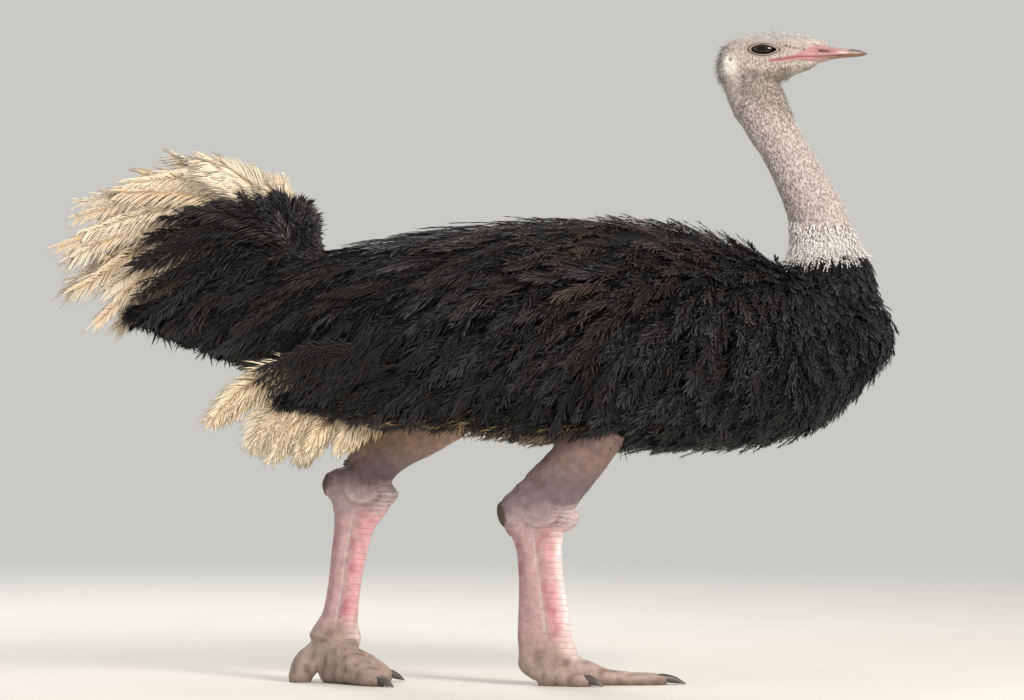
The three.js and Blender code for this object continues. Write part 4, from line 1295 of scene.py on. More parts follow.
def makeBlackCoat(outer, tree, layer):
    source = np.random.default_rng(coatPlan["seed"][layer])

    def spacingAt(points):
        length, half = coatAt(points)[:2]
        space = coatPlan["spacing"][layer] * np.sqrt(length * half) * mm
        collarX, collarZ = coatPlan["collarAt"]
        return np.where((points[:, 0] > collarX * mm) & (points[:, 2] > collarZ * mm), np.nan, space)

    roots = surfaceRoots(outer, spacingAt, source)
    roots = roots[np.argsort(roots[:, 0])]
    count = len(roots)
    length, half, fall, stray, lift, curl, warm = coatAt(roots)
    length = length * mm * source.uniform(0.75, 1.2, count)
    if layer == "top":
        length *= 1.12
        stray = stray * 0.8
    lift = lift * source.uniform(0.3, 1.5, count) + coatPlan["raise"][layer]
    paths, ups = layPlumes(tree, roots, length, fall, stray, lift, source)
    clump = rippled(roots * [0.8, 1, 1.3], coatPlan["clump"], 51)
    warmth = np.clip(warm * (source.uniform(0.1, 1.5, count) + 0.3 * clump), 0, 1)[:, None]
    # brightness per plume: partly the plumes' own differing tone, partly painted light and shade of the
    # locks; plumes higher on the body are painted lighter, as top light
    bright = source.uniform(0.35, 2.4, (count, 1)) * (1 + 0.35 * np.clip(clump, -1.5, 1.5))[:, None]
    bright *= (0.7 + 0.7 * eased(roots[:, 2], 1.15, 1.45))[:, None]
    colours = blackTones(count, warmth, bright, source)
    # yellowish down under the belly
    _, normal = nearestOn(tree, roots)
    down = eased(-normal[:, 2], 0.55, 0.85) * eased(420 - np.abs(roots[:, 0] / mm - 60), 0, 120)
    down = down * source.uniform(0.3, 1, count) * 0.85
    for key, shade in (("vane", "down"), ("tip", "downTip"), ("shaft", "down")):
        colours[key] = shaded(colours[key], linear(coatPlan[shade]), down)
    places = bodyMap(roots)
    pieces = []
    pieceCount = math.ceil(count / coatPlan["perPiece"][layer])
    for number, chunk in enumerate(np.array_split(np.arange(count), pieceCount)):
        coat = Coat()
        level = np.digitize(curl[chunk], [0.2, 0.42])
        for tier, changes in enumerate(plumeTiers[layer]):
            part = chunk[level == tier]
            kind = dict(blackPlume, **changes)
            if len(part):
                addPlumes(coat, paths[part], ups[part], half[part] * mm * kind["reach"], kind,
                          {key: tones[part] for key, tones in colours.items()}, places[part], source)
        pieces.append(coat.made(f"body_plumes_{layer}_{number + 1}"))
    report(f"{count} body plumes, {layer}")
    return pieces


blackFinish = plumeFinish("black plume barbs", gloss=0.43, sheen=0.03, fibre=1.7, bump=0.5)
outer = outerShape()
outerTree = treeOf(outer)
bodyCoat = makeBlackCoat(outer, outerTree, "under") + makeBlackCoat(outer, outerTree, "top")
for number, piece in enumerate(bodyCoat):
    finished(piece, blackFinish, "black_plumage", *(("wing_left", "wing_right") if number == 0 else ()))


# The raised tail: white plumes in its middle, black ones over them on both sides

tailPlan = {
    "seed": 23, "x": -584, "z": 1389,  # the point that the fans turn about
    "white": {"count": 80, "crowd": 0.9, "from": 96, "to": 199, "root": 50, "stations": 11, "lean": 50,
              "droop": 0.12, "half": 132, "rootSide": 34, "tipSide": 56},
    "fill": {"count": 58, "crowd": 1.0, "from": 100, "to": 187, "root": 50, "stations": 9, "lean": 50,
             "droop": 0.12, "half": 92, "rootSide": 24, "tipSide": 38},
    "black": {"count": 120, "crowd": 0.7, "from": 44, "to": 229, "root": 20, "stations": 9, "lean": 34,
              "droop": 0.08, "half": 80, "rootSide": 78, "tipSide": 122},
    "covert": {"count": 150, "crowd": 1.0, "from": -30, "to": 150, "root": 10, "stations": 6, "lean": 18,
               "droop": 0.05, "half": 44, "rootSide": 80, "tipSide": 112},
}
whiteReach = [  # degrees above +X, reach
    [90, 226], [97, 262], [104, 292], [111, 318], [118, 366], [128, 420], [138, 500], [147, 560],
    [153, 626], [160, 704], [168, 766], [179, 797], [187, 762], [194, 708], [201, 614],
]
blackReach = [
    [24, 112], [60, 146], [82, 190], [98, 206], [112, 204], [128, 256], [146, 340], [165, 452],
    [175, 512], [186, 584], [198, 586], [207, 520], [218, 440], [232, 400],
]
whitePlume = {
    "shaft": 0.0042, "shaftSections": 7, "barbs": 74, "from": 0.08, "sections": 2, "open": 44, "close": 24,
    "stray": 4, "taper": 0.52, "sweep": 0.85, "sag": 0.85, "loft": 0.01, "curl": 0.07, "tilt": 0.12,
    "ruffle": 0.12, "width": 0.0050, "ridge": 0.16, "tipBlend": 0.8, "fleck": 0.06, "sway": 0.30,
}
fillPlume = dict(
    whitePlume, shaft=0.002, shaftSections=3, barbs=24, sections=1, width=0.013, ridge=0.08, curl=0.05,
)
tailBlackPlume = dict(
    blackPlume, barbs=34, shaftSections=5, sections=2, open=42, close=20, sag=0.65, width=0.0060,
    curl=0.12, shaft=0.0034, ruffle=0.18, sway=0.35,
)
plumeTones = {
    # tan: partly the plumes' own cream-tan, partly painted warm shade in their deeper barbs
    "white": "f8ead4", "cream": "f0dab6", "tan": "d8b07a", "whiteTip": "fdf4e6", "whiteShaft": "c08d58",
    "covert": "514c4d",
}


def tone(name):
    return linear(plumeTones[name])


def fanPaths(plan, reaches, source):
    # shafts that rise from the tail's root, lean back and droop at their tips
    count, stations = plan["count"], plan["stations"]
    share = np.linspace(0, 1, stations)[None]
    aim = plan["from"] + (plan["to"] - plan["from"]) * np.linspace(0, 1, count) ** plan["crowd"]
    aim += source.normal(0, 2.0, count)
    aim = np.clip(aim, plan["from"], plan["to"])
    source.shuffle(aim)
    reach = between(reaches, aim)[:, 1] * source.uniform(0.78, 0.965, count) - 6
    lean = plan["lean"] * source.uniform(0.75, 1.2, count) * np.clip((aim - 88) / 66, 0.08, 1)
    angle = np.radians(aim[:, None] - lean[:, None] * (1 - share) ** 1.5)
    radius = plan["root"] + (reach[:, None] - plan["root"]) * share
    sag = plan["droop"] * reach[:, None] * (share ** 2.6 - share ** 1.2 * 0.75)
    side = np.where(np.arange(count) % 2, 1, -1)
    rootSide = side * source.uniform(0.1, 1, count) * plan["rootSide"]
    tipSide = side * source.uniform(0.2, 1, count) ** 0.6 * plan["tipSide"]
    y = rootSide[:, None] + (tipSide - rootSide)[:, None] * share ** 0.8
    angle = angle + np.radians(source.normal(1, 2.5, count))[:, None] * share ** 2
    x = tailPlan["x"] + radius * np.cos(angle)
    z = tailPlan["z"] + radius * np.sin(angle) - sag
    paths = np.stack([x, y, z], axis=2) * mm
    faces = np.zeros_like(paths)
    faces[..., 1] = side[:, None]
    faces[..., 0] = source.normal(0, 0.25, count)[:, None]
    faces[..., 2] = 0.35 * (1 - share) + source.normal(0.1, 0.2, count)[:, None]
    ahead = unit(np.gradient(paths, axis=1))
    return paths, tangentTo(ahead, faces), aim


def tailMap(roots):
    # an unwrap of the tail's side: round its root, and across it
    x, y, z = (roots / mm).T
    turn = np.arctan2(z - tailPlan["z"], x - tailPlan["x"]) / (2 * math.pi) + 0.5
    out = np.hypot(x - tailPlan["x"], z - tailPlan["z"]) / 900
    return np.stack([0.02 + 0.46 * out + 0.48 * (y > 0), 0.02 + 0.96 * turn], axis=1)


def makeTail():
    source = np.random.default_rng(tailPlan["seed"])
    white = Coat()
    for name, kind in (("fill", fillPlume), ("white", whitePlume)):
        plan = tailPlan[name]
        paths, faces, aim = fanPaths(plan, whiteReach, source)
        count = plan["count"]
        # tan share per plume: partly the plumes' cream tint, partly painted warm shade
        tanAndShade = source.uniform(0, 1, count) ** 1.6
        colours = {
            "shaft": shaded(tone("whiteShaft"), tone("cream"), source.uniform(0.2, 1, count)),
            "vane": shaded(tone("cream"), tone("tan"), tanAndShade * 0.8),
            "tip": shaded(tone("whiteTip"), tone("white"), tanAndShade),
        }
        half = plan["half"] * mm * source.uniform(0.8, 1.15, count) * (0.6 + 0.4 * eased(aim, 105, 140))
        if name == "fill":
            # the filling layer: cream and tan, partly the plumes' own tint, partly painted warm shade deep
            # in the tail
            colours = dict.fromkeys(colours, shaded(tone("cream"), tone("tan"), np.full(count, 0.45)))
            paths = paths[:, :1] + (paths - paths[:, :1]) * 0.8
        addPlumes(white, paths, faces, half, kind, colours, tailMap(paths[:, -1]), source)
    white = finished(white.made("tail_white_plumes"), whiteFinish, "white_plumage", "tail_plumes")

    black = Coat()
    for name, kind in (("black", tailBlackPlume), ("covert", dict(blackPlume, barbs=10, curl=0.35))):
        plan = tailPlan[name]
        count = plan["count"]
        paths, faces, aim = fanPaths(plan, blackReach, source)
        warmth, bright = source.uniform(0, 0.5, (count, 1)), source.uniform(0.6, 1.6, (count, 1))
        colours = blackTones(count, warmth, bright, source)
        if name == "covert":
            grey = source.uniform(0, 0.7, count)
            colours = {key: shaded(tones, tone("covert"), grey) for key, tones in colours.items()}
        half = plan["half"] * mm * source.uniform(0.8, 1.2, count)
        addPlumes(black, paths, faces, half, kind, colours, tailMap(paths[:, -1]), source)
    finished(black.made("tail_black_plumes"), blackFinish, "black_plumage", "tail")


# White plumes under the wings, and the black wing tips that hang over them

wingPlan = {
    "groups": [  # spread in the vane's plane, barb reach, and the shaft's line on the left side as x, y, z
        (34, 92, [(-420, 122, 1000), (-560, 134, 1015), (-690, 152, 975), (-782, 166, 912),
                  (-838, 172, 858)]),
        (40, 96, [(-420, 122, 975), (-545, 134, 935), (-625, 150, 885), (-680, 166, 822),
                  (-700, 172, 768)]),
        (40, 92, [(-360, 122, 965), (-470, 134, 915), (-560, 150, 858), (-618, 166, 798),
                  (-636, 172, 750)]),
        (44, 92, [(-300, 122, 960), (-400, 134, 905), (-478, 152, 845), (-530, 166, 785),
                  (-552, 172, 735)]),
        (40, 76, [(-260, 122, 950), (-310, 132, 895), (-360, 148, 850), (-400, 162, 806),
                  (-428, 168, 762)]),
    ],
    "seed": 31, "perGroup": 7, "stations": 9,
    "tips": [  # black tips: root x, z and end x, z
        (-300, 1060, -560, 945), (-330, 1090, -640, 970), (-240, 1030, -520, 912), (-200, 1000, -440, 890),
        (-160, 980, -380, 878), (-120, 960, -330, 856), (-360, 1110, -660, 1010), (-60, 930, -290, 856),
    ],
    "perTip": 3,
}
wingWhitePlume = dict(
    whitePlume, barbs=54, shaftSections=5, open=58, close=22, sweep=0.8, sag=0.65, curl=0.24, width=0.0050,
    shaft=0.0040,
)
wingTipPlume = dict(tailBlackPlume, barbs=26, sag=0.6)


def makeWingPlumes():
    source = np.random.default_rng(wingPlan["seed"])
    for name, side in (("right", -1), ("left", 1)):
        white = Coat()
        for spread, reach, line in wingPlan["groups"]:
            count = wingPlan["perGroup"]
            line = np.insert(np.array(line, float), 0, np.arange(len(line)), axis=1)
            base = between(line, np.linspace(0, len(line) - 1, wingPlan["stations"]))[:, 1:]
            share = np.linspace(0, 1, len(base))[None, :, None]
            shift = source.normal(0, 0.5, (count, 1, 3)) * spread * np.array([1, 0.35, 1])
            shift[..., 1] -= 14
            paths = base[None] + shift * (1.05 - 0.75 * share)
            paths = paths[:, :1] + (paths - paths[:, :1]) * source.uniform(0.82, 1.0, (count, 1, 1))
            paths = paths * np.array([1, side, 1]) * mm
            ahead = unit(np.gradient(paths, axis=1))
            faces = np.array([0.1, side, 0.25]) + source.normal(0, 0.22, (count, 1, 3)) + 0 * paths
            faces = tangentTo(ahead, faces)
            # tan share per plume: partly the plumes' cream tint, partly painted warm shade
            tanAndShade = source.uniform(0, 1, count)
            colours = {
                "shaft": shaded(tone("whiteShaft"), tone("tan"), tanAndShade),
                "vane": shaded(tone("cream"), tone("tan"), tanAndShade * 0.9),
                "tip": shaded(tone("white"), tone("cream"), tanAndShade * 0.8),
            }
            half = reach * mm * source.uniform(0.85, 1.2, count)
            addPlumes(white, paths, faces, half, wingWhitePlume, colours, bodyMap(paths[:, 0]), source)
        white = white.made(f"wing_white_plumes_{name}")
        finished(white, whiteFinish, "white_plumage", f"wing_plumes_{name}")

        tips = np.repeat(np.array(wingPlan["tips"], float), wingPlan["perTip"], axis=0)
        count = len(tips)
        tips += source.normal(0, 16, tips.shape)
        share = np.linspace(0, 1, wingPlan["stations"])[None]
        x = tips[:, 0:1] + (tips[:, 2:3] - tips[:, 0:1]) * share
        z = tips[:, 1:2] + (tips[:, 3:4] - tips[:, 1:2]) * share + 26 * np.sin(math.pi * share)
        root = np.stack([x[:, 0], np.full(count, 260.0), z[:, 0]], axis=1) * mm
        reach, _ = nearestOn(outerTree, root * [1, side, 1])
        y = np.abs(reach[:, 1:2]) / mm - 14 + (196 - np.abs(reach[:, 1:2]) / mm) * share ** 1.2
        paths = np.stack([x, side * (y + source.uniform(0, 16, (count, 1))), z], axis=2) * mm
        ahead = unit(np.gradient(paths, axis=1))
        faces = np.array([0.1, side, 0.2]) + source.normal(0, 0.2, (count, 1, 3)) + 0 * paths
        faces = tangentTo(ahead, faces)
        warmth, bright = source.uniform(0, 0.5, (count, 1)), source.uniform(0.6, 1.5, (count, 1))
        colours = blackTones(count, warmth, bright, source)
        black = Coat()
        half = np.full(count, 0.050) * source.uniform(0.8, 1.2, count)
        addPlumes(black, paths, faces, half, wingTipPlume, colours, bodyMap(paths[:, 0]), source)
        finished(black.made(f"wing_black_tips_{name}"), blackFinish, "black_plumage")


whiteFinish = plumeFinish("white plume barbs", gloss=0.66, sheen=0.25, fibre=1.7, bump=0.15)
makeTail()
makeWingPlumes()


# Eyes, bill and claws

billRows = [  # both halves together: x, top, bottom, half width
    [1080, 2064, 1999, 36], [1130, 2070, 2009, 39], [1165, 2061, 2018, 36], [1200, 2055, 2024, 31],
    [1240, 2051, 2027, 24], [1264, 2046, 2030, 16], [1277, 2040, 2035, 5],
]
billPlan = {
    "nostril": (1138, 2047, 31, 5.0),  # x, z and its two half widths
    "nail": 1222, "power": 2.4, "rings": 120, "sides": 96, "gap": 0.15,
}
billTints = {"pink": "b08e8e", "rose": "94585a", "horn": "6a5f57", "ochre": "8a6334", "dark": "3a1d18"}


def halfBill(upper):
    # one half of the bill, closed along the line of the gape
    places = np.linspace(billRows[0][0], billRows[-1][0], billPlan["rings"])
    rings = ringsAlongX(billRows, places, billPlan["sides"], billPlan["power"])
    rings = domed(rings, 3, 3)
    line = gapeLine(rings[..., 0] / mm) * mm
    if upper:
        rings[..., 2] = np.maximum(rings[..., 2], line + billPlan["gap"] * mm)
    else:
        rings[..., 2] = np.minimum(rings[..., 2], line - billPlan["gap"] * mm)
    obj = meshObject("bill_horn_upper" if upper else "bill_horn_lower", *closedTube(rings))
    mesh = obj.data
    points, normals = pointsOf(mesh), normalsOf(mesh)
    x, y, z = (points / mm).T
    noseX, noseZ, long, tall = billPlan["nostril"]
    hole = np.hypot((x - noseX) / long, (z - noseZ - 0.06 * (noseX - x)) / tall)
    onSide = np.abs(y) > 8
    gape = gapeLine(x)
    nail = eased(x, billPlan["nail"] - 6, billPlan["nail"] + 6)
    lift = np.zeros(len(x))
    if upper:
        lift += nail * 1.4 - 5.0 * (1 - eased(hole, 0.55, 1.05)) * onSide
        lift += 1.2 * bell(hole - 1.35, 0.25) * onSide
        lift -= 1.6 * bell(np.abs(y) - 13, 5) * (z > 2050) * (1 - eased(x, 1190, 1225))
    lift += 0.9 * bell(z - gape - (4 if upper else -4), 2.5) * (1 - nail)
    flat = np.abs(z - gape) < 0.4
    points += normals * (lift * ~flat * mm)[:, None]
    movePoints(mesh, points)
    layers = [("rose", bell(z - gape, 6) * 0.8)]
    if upper:
        layers += [
            # dark inside the nostril: painted shade in its hollow
            ("dark", (1 - eased(hole, 0.5, 1.0)) * onSide), ("rose", bell(hole - 1.25, 0.35) * 0.8),
            ("dark", eased(x, 1150, 1200) * (1 - eased(z - gape, 2, 7)) * 0.4),
            ("horn", eased(x, 1214, 1234) * (0.75 + 0.25 * eased(z, 2040, 2048))),
        ]
    else:
        layers += [("ochre", eased(x, 1140, 1200) * 0.9),
                   ("dark", bell(z - gape + 6, 3) * 0.35 * eased(x, 1120, 1180))]
    giveColours(mesh, "tint", painted("pink", billTints, layers, len(x)))
    return obj


def hornFinish(name, gloss, streak):
    # keratin sheath: satin, with fine growth lines along its length
    finish, add = newFinish(name)
    place = add("ShaderNodeTexCoord").outputs["Object"]
    tint = add("ShaderNodeAttribute", attribute_name="tint")
    along = add("ShaderNodeMapping", {"Vector": place, "Scale": (0.22, 1.0, 1.0)})
    lines = add("ShaderNodeTexNoise", {"Vector": along, "Scale": streak, "Detail": 4.0})
    tone = add("ShaderNodeMapRange", {
        "Value": lines, "From Min": 0.3, "From Max": 0.7, "To Min": 0.82, "To Max": 1.14})
    colour = add("ShaderNodeVectorMath", {0: tint, "Scale": tone}, operation="SCALE")
    relief = add("ShaderNodeBump", {"Height": lines, "Strength": 0.3, "Distance": 0.0008})
    body = add("ShaderNodeBsdfPrincipled", {
        "Base Color": colour, "Roughness": gloss, "Normal": relief, "IOR": 1.54, "Specular IOR Level": 0.5})
    add("ShaderNodeOutputMaterial", {"Surface": body})
    return finish


def makeClaw(side, name):
    leg = legs[side]
    toe = next(t for t in leg["toes"] if t["claw"] == name)
    rows = [[at + toe["clawAt"], top, bottom, half] for at, top, bottom, half in clawRows[name]]
    rings = ringsAlongX(rows, np.linspace(rows[0][0], rows[-1][0], 44), 32, 2.2)
    rings = domed(rings, 1.5, 2)
    obj = meshObject(f"claw_horn_{name}_{side}", *closedTube(onFoot(rings, toe)))
    points = pointsOf(obj.data)
    along, _ = alongToe(points, toe)
    share = np.clip((along - rows[0][0]) / (rows[-1][0] - rows[0][0]), 0, 1)
    tint = shaded(linear("4a433f"), linear("6f665f"),
                  eased(share, 0.7, 1.0) * 0.8 + 0.2 * np.sin(share * 40) ** 2)
    giveColours(obj.data, "tint", tint)
    return finished(obj, clawFinish, "claw_horn", f"claw_{name}_{side}")


def eyeFinish():
    # wet cornea over a dark iris: a very smooth clear coat gives the bright window-like glint
    finish, add = newFinish("wet cornea over brown iris")
    place = add("ShaderNodeTexCoord").outputs["Object"]
    disc = add("ShaderNodeAttribute", attribute_name="disc").outputs["Fac"]
    fibre = add("ShaderNodeTexNoise", {"Vector": place, "Scale": 420.0, "Detail": 3.0})
    mixed = add("ShaderNodeMath", {0: fibre, 1: 0.10, 2: disc}, operation="MULTIPLY_ADD")
    ramp = add("ShaderNodeValToRGB", {"Fac": mixed})
    setStops(ramp, [
        (0.0, "040404"), (0.42, "050404"), (0.50, "21150e"), (0.70, "2c1c12"), (0.88, "120b08"),
        (1.0, "0a0706")])
    body = add("ShaderNodeBsdfPrincipled", {
        "Base Color": ramp, "Roughness": 0.12, "IOR": 1.38, "Coat Weight": 0.5,
        "Coat Roughness": 0.02, "Specular IOR Level": 0.15})
    add("ShaderNodeOutputMaterial", {"Surface": body})
    return finish


def makeEye(side):
    eye = skinPlan["eye"]
    turn = np.linspace(0, math.pi, 50)[1:-1, None]
    angle = (np.arange(72) * 2 * math.pi / 72)[None]
    out = side * np.cos(turn)
    rings = np.stack([
        eye["x"] + eye["long"] * np.sin(turn) * np.cos(angle),
        side * eye["y"] + eye["deep"] * out + 0 * angle,
        eye["z"] + eye["tall"] * np.sin(turn) * np.sin(angle) * side,
    ], axis=2) * mm
    name = "left" if side > 0 else "right"
    obj = meshObject(f"eyeball_{name}", *closedTube(rings))
    points = pointsOf(obj.data)
    disc = np.hypot((points[:, 0] / mm - eye["x"] + 4) / 34, (points[:, 2] / mm - eye["z"]) / 24)
    giveNumbers(obj.data, "disc", disc + (points[:, 1] * side < eye["y"] * mm) * 2)
    return finished(obj, corneaFinish, "eye", f"eye_{name}")


billFinish = hornFinish("bill keratin", gloss=0.36, streak=260.0)
clawFinish = hornFinish("claw keratin", gloss=0.42, streak=200.0)
corneaFinish = eyeFinish()
finished(halfBill(True), billFinish, "bill_horn", "bill_upper")
finished(halfBill(False), billFinish, "bill_horn", "bill_lower")
for side in ("right", "left"):
    for name in ("large", "small"):
        makeClaw(side, name)
for side in (-1, 1):
    makeEye(side)
report("bill, claws and eyes are made")


# Short feathers of the collar, bristles of the neck and hairs of the head

skinTree = treeOf(skin.data)
collarPlan = {
    "seed": 61, "low": 1378, "high": 1440, "spacing": 6.0, "length": 37, "half": 9, "stations": 5,
    "white": "fbf8f4", "grey": "e2dad3", "tip": "fffdfa",
}
collarPlume = dict(
    blackPlume, shaft=0.0010, shaftSections=1, barbs=5, sections=1, open=36, close=14, sag=0.1,
    width=0.0026, curl=0.25, ruffle=0.2, stray=12, ridge=0.2, sway=0.15,
)


def neckMap(points):
    # an unwrap of the neck and head: up it, and round it
    x, y, z = (points / mm).T
    middle = between([[row[3], row[1]] for row in neckRows], z)[:, 1]
    around = np.arctan2(y, x - middle) / (2 * math.pi) + 0.5
    return np.stack([0.02 + 0.96 * around, 0.02 + 0.96 * (z - 1300) / 820], axis=1)


def makeCollar():
    source = np.random.default_rng(collarPlan["seed"])

    def spacingAt(points):
        x, _, z = (points / mm).T
        edge = collarPlan["low"] + 22 * eased(np.abs(x - 1130), 60, 140) + rippled(points, 30, 62) * 9
        edge += source.random(len(x)) * 12
        ragged = rippled(points, 40, 63) * 8 + source.random(len(x)) ** 3 * 80 - 18
        inside = (x > 960) & (z > edge) & (z < collarPlan["high"] + ragged)
        return np.where(inside, collarPlan["spacing"] * mm, np.nan)

    roots = surfaceRoots(skin.data, spacingAt, source, 1200000)
    count = len(roots)
    point, normal = nearestOn(skinTree, roots)
    lie = tangentTo(normal, np.array([0, 0, -1.0]) + source.normal(0, 0.26, (count, 3)))
    share = np.linspace(0, 1, collarPlan["stations"])[None, :, None]
    high = eased(roots[:, 2] / mm, 1410, 1450)
    length = collarPlan["length"] * mm * (1 - 0.65 * high) * source.uniform(0.6, 1.25, count)
    rise = (3 + 15 * eased(1440 - roots[:, 2] / mm, 0, 55)) * mm * source.uniform(0.6, 1.3, count)
    paths = point[:, None] + lie[:, None] * length[:, None, None] * share
    paths = paths + normal[:, None] * (rise[:, None, None] * share ** 0.7 + 0.002 * share)
    ups = np.repeat(normal[:, None], collarPlan["stations"], axis=1)
    white, grey, tip = [linear(collarPlan[key]) for key in ("white", "grey", "tip")]
    vane = shaded(white, grey, source.uniform(0, 1, count) ** 2)
    colours = {"shaft": vane, "vane": vane, "tip": shaded(tip, grey, source.uniform(0, 0.5, count))}
    coat = Coat()
    half = collarPlan["half"] * mm * source.uniform(0.8, 1.3, count)
    addPlumes(coat, paths, ups, half, collarPlume, colours, neckMap(roots), source)
    return finished(coat.made("collar_feathers"), whiteFinish, "white_plumage")


makeCollar()

tuftPlan = {
    "neck": {"seed": 4, "spacing": 4.3, "hairs": 1, "length": 9.5, "width": 1.25, "spread": 2, "tilt": 17},
    "head": {"seed": 5, "spacing": 3.3, "hairs": 1, "length": 8, "width": 0.95, "spread": 1.4, "tilt": 19},
    "long": {"seed": 6, "spacing": 4.6, "hairs": 2, "length": 25, "width": 0.7, "spread": 2, "tilt": 42},
    "down": {"seed": 9, "spacing": 18, "hairs": 3, "length": 70, "width": 7, "spread": 12, "tilt": 13},
}


def tuftShape(plan):
    # a few closed three-sided hairs that lean along +X from the origin
    source = np.random.default_rng(plan["seed"])
    points, faces = [], []
    for number in range(plan["hairs"]):
        place = number - (plan["hairs"] - 1) / 2
        turn = math.radians(place * 26)
        tilt = math.radians(plan["tilt"] * source.uniform(0.7, 1.3))
        way = np.array([math.cos(turn) * math.cos(tilt), math.sin(turn) * math.cos(tilt), math.sin(tilt)])
        start = np.array([0, place * plan["spread"], -0.6])
        aside = np.array([-math.sin(turn), math.cos(turn), 0]) * plan["width"]
        upward = np.cross(way, aside)
        tip = start + way * plan["length"] * source.uniform(0.8, 1.1) - np.array([0, 0, 0.8])
        first = len(points)
        points += [start - aside / 2, start + aside / 2, start + upward * 0.9, tip]
        faces += [(first, first + 1, first + 2), (first, first + 3, first + 1),
                  (first + 1, first + 3, first + 2), (first + 2, first + 3, first)]
    points, corners = np.array(points) * mm, np.array(faces)
    centre = points.reshape(-1, 4, 3).mean(axis=1)
    a, b, c = points[corners.T]
    outward = np.cross(b - a, c - a)
    middle = points[corners].mean(axis=1) - np.repeat(centre, 4, axis=0)
    flip = (outward * middle).sum(axis=1) < 0
    corners[flip] = corners[flip][:, ::-1]
    return meshObject("tuft", points, corners)


def strewTufts(name, plan, finish, mask, unwrap):
    # a node tree that strews tufts over the skin along its lie, as real geometry
    tuft = tuftShape(plan)
    group = bpy.data.node_groups.new(name, "GeometryNodeTree")
    add = partial(addNode, group)
    group.interface.new_socket("Geometry", in_out="INPUT", socket_type="NodeSocketGeometry")
    for label, kind in (("Tuft", "Object"), ("Spacing", "Float"), ("Density", "Float"), ("Seed", "Int"),
                        ("Finish", "Material")):
        group.interface.new_socket(label, in_out="INPUT", socket_type=f"NodeSocket{kind}")
    group.interface.new_socket("Geometry", in_out="OUTPUT", socket_type="NodeSocketGeometry")
    given = add("NodeGroupInput")
    onMask = add("GeometryNodeInputNamedAttribute", {"Name": mask}, data_type="FLOAT")
    strewn = add("GeometryNodeDistributePointsOnFaces", {
        "Mesh": given.outputs["Geometry"], "Distance Min": given.outputs["Spacing"],
        "Density Max": given.outputs["Density"], "Density Factor": onMask.outputs[0],
        "Seed": given.outputs["Seed"]}, distribute_method="POISSON")
    lie = add("GeometryNodeInputNamedAttribute", {"Name": "lie"}, data_type="FLOAT_VECTOR")
    jitter = add("FunctionNodeRandomValue", {
        0: (-0.3, -0.3, -0.3), 1: (0.3, 0.3, 0.3), "Seed": given.outputs["Seed"]}, data_type="FLOAT_VECTOR")
    heading = add("ShaderNodeVectorMath", {0: lie, 1: jitter}, operation="ADD")
    turn = add("FunctionNodeAxesToRotation", {
        "Primary Axis": strewn.outputs["Normal"], "Secondary Axis": heading},
        primary_axis="Z", secondary_axis="X")
    size = add("FunctionNodeRandomValue", {2: 0.65, 3: 1.25, "Seed": given.outputs["Seed"]})
    shape = add("GeometryNodeObjectInfo", {"Object": given.outputs["Tuft"]})
    place = add("GeometryNodeInputPosition")
    rooted = add("GeometryNodeStoreNamedAttribute", {
        "Geometry": strewn.outputs["Points"], "Name": "root", "Value": place},
        data_type="FLOAT_VECTOR", domain="POINT")
    shade = add("FunctionNodeRandomValue", {2: 0.0, 3: 1.0, "Seed": given.outputs["Seed"]})
    toned = add("GeometryNodeStoreNamedAttribute", {
        "Geometry": rooted, "Name": "shade", "Value": shade},
        data_type="FLOAT", domain="POINT")
    placed = add("GeometryNodeInstanceOnPoints", {
        "Points": toned, "Instance": shape.outputs["Geometry"], "Rotation": turn,
        "Scale": size})
    real = add("GeometryNodeRealizeInstances", {"Geometry": placed})
    dressed = add("GeometryNodeSetMaterial", {"Geometry": real, "Material": given.outputs["Finish"]})
    add("NodeGroupOutput", {0: dressed})

    carrier = bpy.data.objects.new(name, skin.data.copy())
    collection.objects.link(carrier)
    strew = carrier.modifiers.new(name, "NODES")
    strew.node_group = group
    space = plan["spacing"] * mm
    values = {"Tuft": tuft, "Spacing": space, "Density": 2.8 / space ** 2, "Seed": plan["seed"],
              "Finish": finish}
    for item in group.interface.items_tree:
        if item.in_out == "INPUT" and item.name in values:
            strew[item.identifier] = values[item.name]
    mesh = applied(carrier)
    carrier.data = mesh
    bpy.data.objects.remove(tuft)
    roots = fetched(mesh.attributes["root"].data, "vector", 3).astype(float)
    away = (pointsOf(mesh) - roots) / (plan["length"] * mm)
    for layer in list(mesh.uv_layers):
        mesh.uv_layers.remove(layer)
    giveBakeMap(mesh, unwrap(roots) + 0.0011 * np.clip(away[:, [0, 2]] + away[:, [1]] * 0.3, -1, 1))
    report(f"{name}: {len(mesh.polygons)} triangles")
    return carrier, roots


def tuftFinish(name):
    # stiff, almost bare shafts: satin, each tuft a little lighter or darker than the next
    finish, add = newFinish(name)
    tint = add("ShaderNodeAttribute", attribute_name="hairTint")
    shade = add("ShaderNodeAttribute", attribute_name="shade").outputs["Fac"]
    tone = add("ShaderNodeMapRange", {"Value": shade, "To Min": 0.72, "To Max": 1.2})
    colour = add("ShaderNodeVectorMath", {0: tint, "Scale": tone}, operation="SCALE")
    body = add("ShaderNodeBsdfPrincipled", {
        "Base Color": colour, "Roughness": 0.5, "Specular IOR Level": 0.4, "IOR": 1.54})
    add("ShaderNodeOutputMaterial", {"Surface": body})
    return finish


bristleTints = {
    "pale": "ece6e3", "pink": "cdbebb", "dark": "453c37", "sand": "cbc1b8", "fuzz": "a2988a",
    # the down under the coat: dark down, darkened to near black as painted shade deep in the coat
    "darkDownShade": "0f0d0e",
}


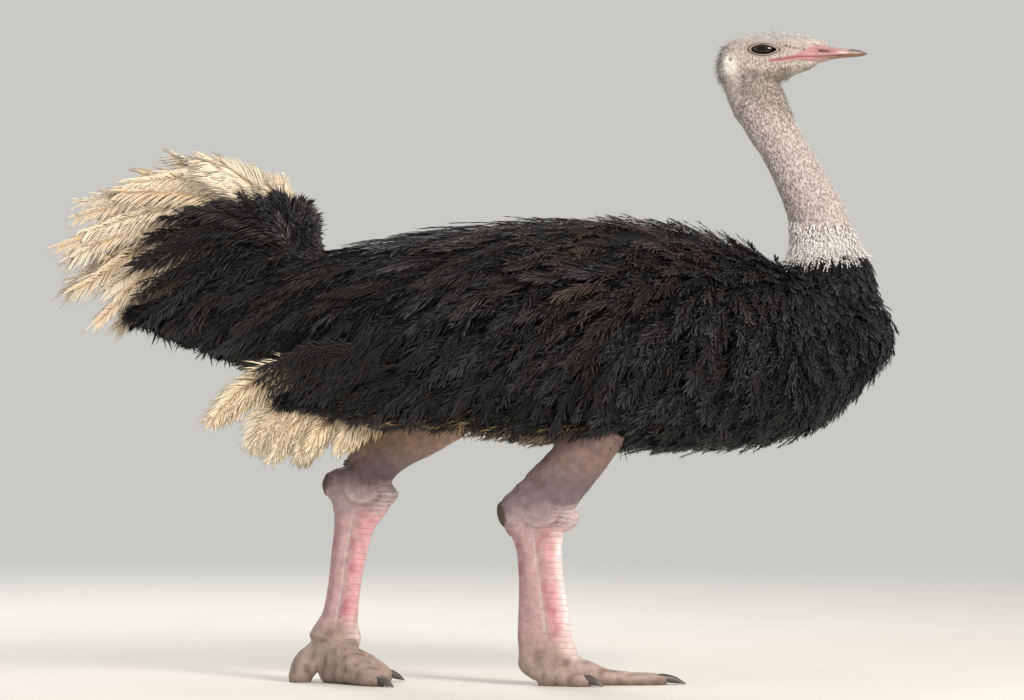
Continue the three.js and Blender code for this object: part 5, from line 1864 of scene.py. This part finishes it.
def bristleLayers(name, roots):
    # the ground colour of a kind of bristle, and the tints over it
    chance = np.random.default_rng(tuftPlan[name]["seed"]).random(len(roots))
    x, _, z = (roots / mm).T
    crown = eased(z, 2062, 2082)
    under = eased(gapeLine(x) - 16 - z, 0, 24) * eased(x, 880, 930)
    if name == "neck":
        return "pale", [("pink", eased(rippled(roots, 70, 72), -0.3, 1.2) * 0.8)]
    if name == "down":
        # down under the coat: near black, partly painted shade
        return "darkDownShade", []
    if name == "long":
        return "dark", [("pale", (chance > 0.15) * crown * 0.95), ("fuzz", under)]
    ear = earPatch(x, z)
    # the last term darkens bristles along the brow fold: painted shadow of the fold
    mixed = eased(862 - x, 0, 26) * 0.1 + 0.35 * (chance > 0.7) + onLore(x) * bell(z - loreLine(x), 4) * 0.5
    return "sand", [("pale", crown * 0.6), ("fuzz", under * 0.8), ("pale", ear),
                    ("dark", np.clip(mixed * (1 - ear), 0, 1))]


def makeBristles():
    points = pointsOf(skin.data)
    normals = normalsOf(skin.data)
    x, y, z = (points / mm).T
    head = nearHead(points)
    lid = lidDistance(x, y, z, head)
    gape = gapeLine(x)
    # down the neck; on the head back from the bill, and down over the cheeks
    lie = np.stack([-0.1 + 0 * x, 0 * x, -1 + 0 * x], axis=1) * (1 - head)[:, None]
    lie += np.array([-1.0, 0, -0.35]) * head[:, None]
    nearest, outward = nearestOn(outerTree, points)
    covered = ((points - nearest) * outward).sum(axis=1) < -7 * mm
    fall = np.radians(coatAt(points[covered])[1] + 10)
    lie[covered] = np.stack([-np.cos(fall), 0 * fall, -np.sin(fall)], axis=1)
    giveVectors(skin.data, "lie", tangentTo(normals, lie))
    giveNumbers(skin.data, "underCoat", covered * (z < 1400))
    bare = fetched(skin.data.attributes["bare"].data, "value", 1)[:, 0]
    free = np.where((lid < 1.7) | (bare > 0.25), 0.0, 1.0)
    up = eased(z, 1425, 1440) * (x > 760)
    giveNumbers(skin.data, "onNeck", up * (1 - head) * (0.75 + 0.25 * rippled(points, 60, 71)))
    giveNumbers(skin.data, "onHead", free * head * (x < 1120))
    crown = eased(z, 2068, 2084) * (x < 1100) + 0.4 * eased(846 - x, 0, 26) * eased(z, 1900, 1960)
    throat = eased(gape - 16 - z, 0, 16) * (x > 880) * (x < 1040)
    giveNumbers(skin.data, "onCrown", free * head * np.clip(crown + throat, 0, 1))

    for name, mask, slot in (("neck", "onNeck", "neck_skin"), ("head", "onHead", "head_skin"),
                             ("long", "onCrown", "head_skin"), ("down", "underCoat", "black_plumage")):
        finish = tuftFinish(f"{name} bristle shafts")
        unwrap = bodyMap if name == "down" else neckMap
        obj, roots = strewTufts(f"{name}_bristles", tuftPlan[name], finish, mask, unwrap)
        ground, layers = bristleLayers(name, roots)
        giveColours(obj.data, "hairTint", painted(ground, bristleTints, layers, len(roots)))
        finished(obj, finish, slot)


makeBristles()
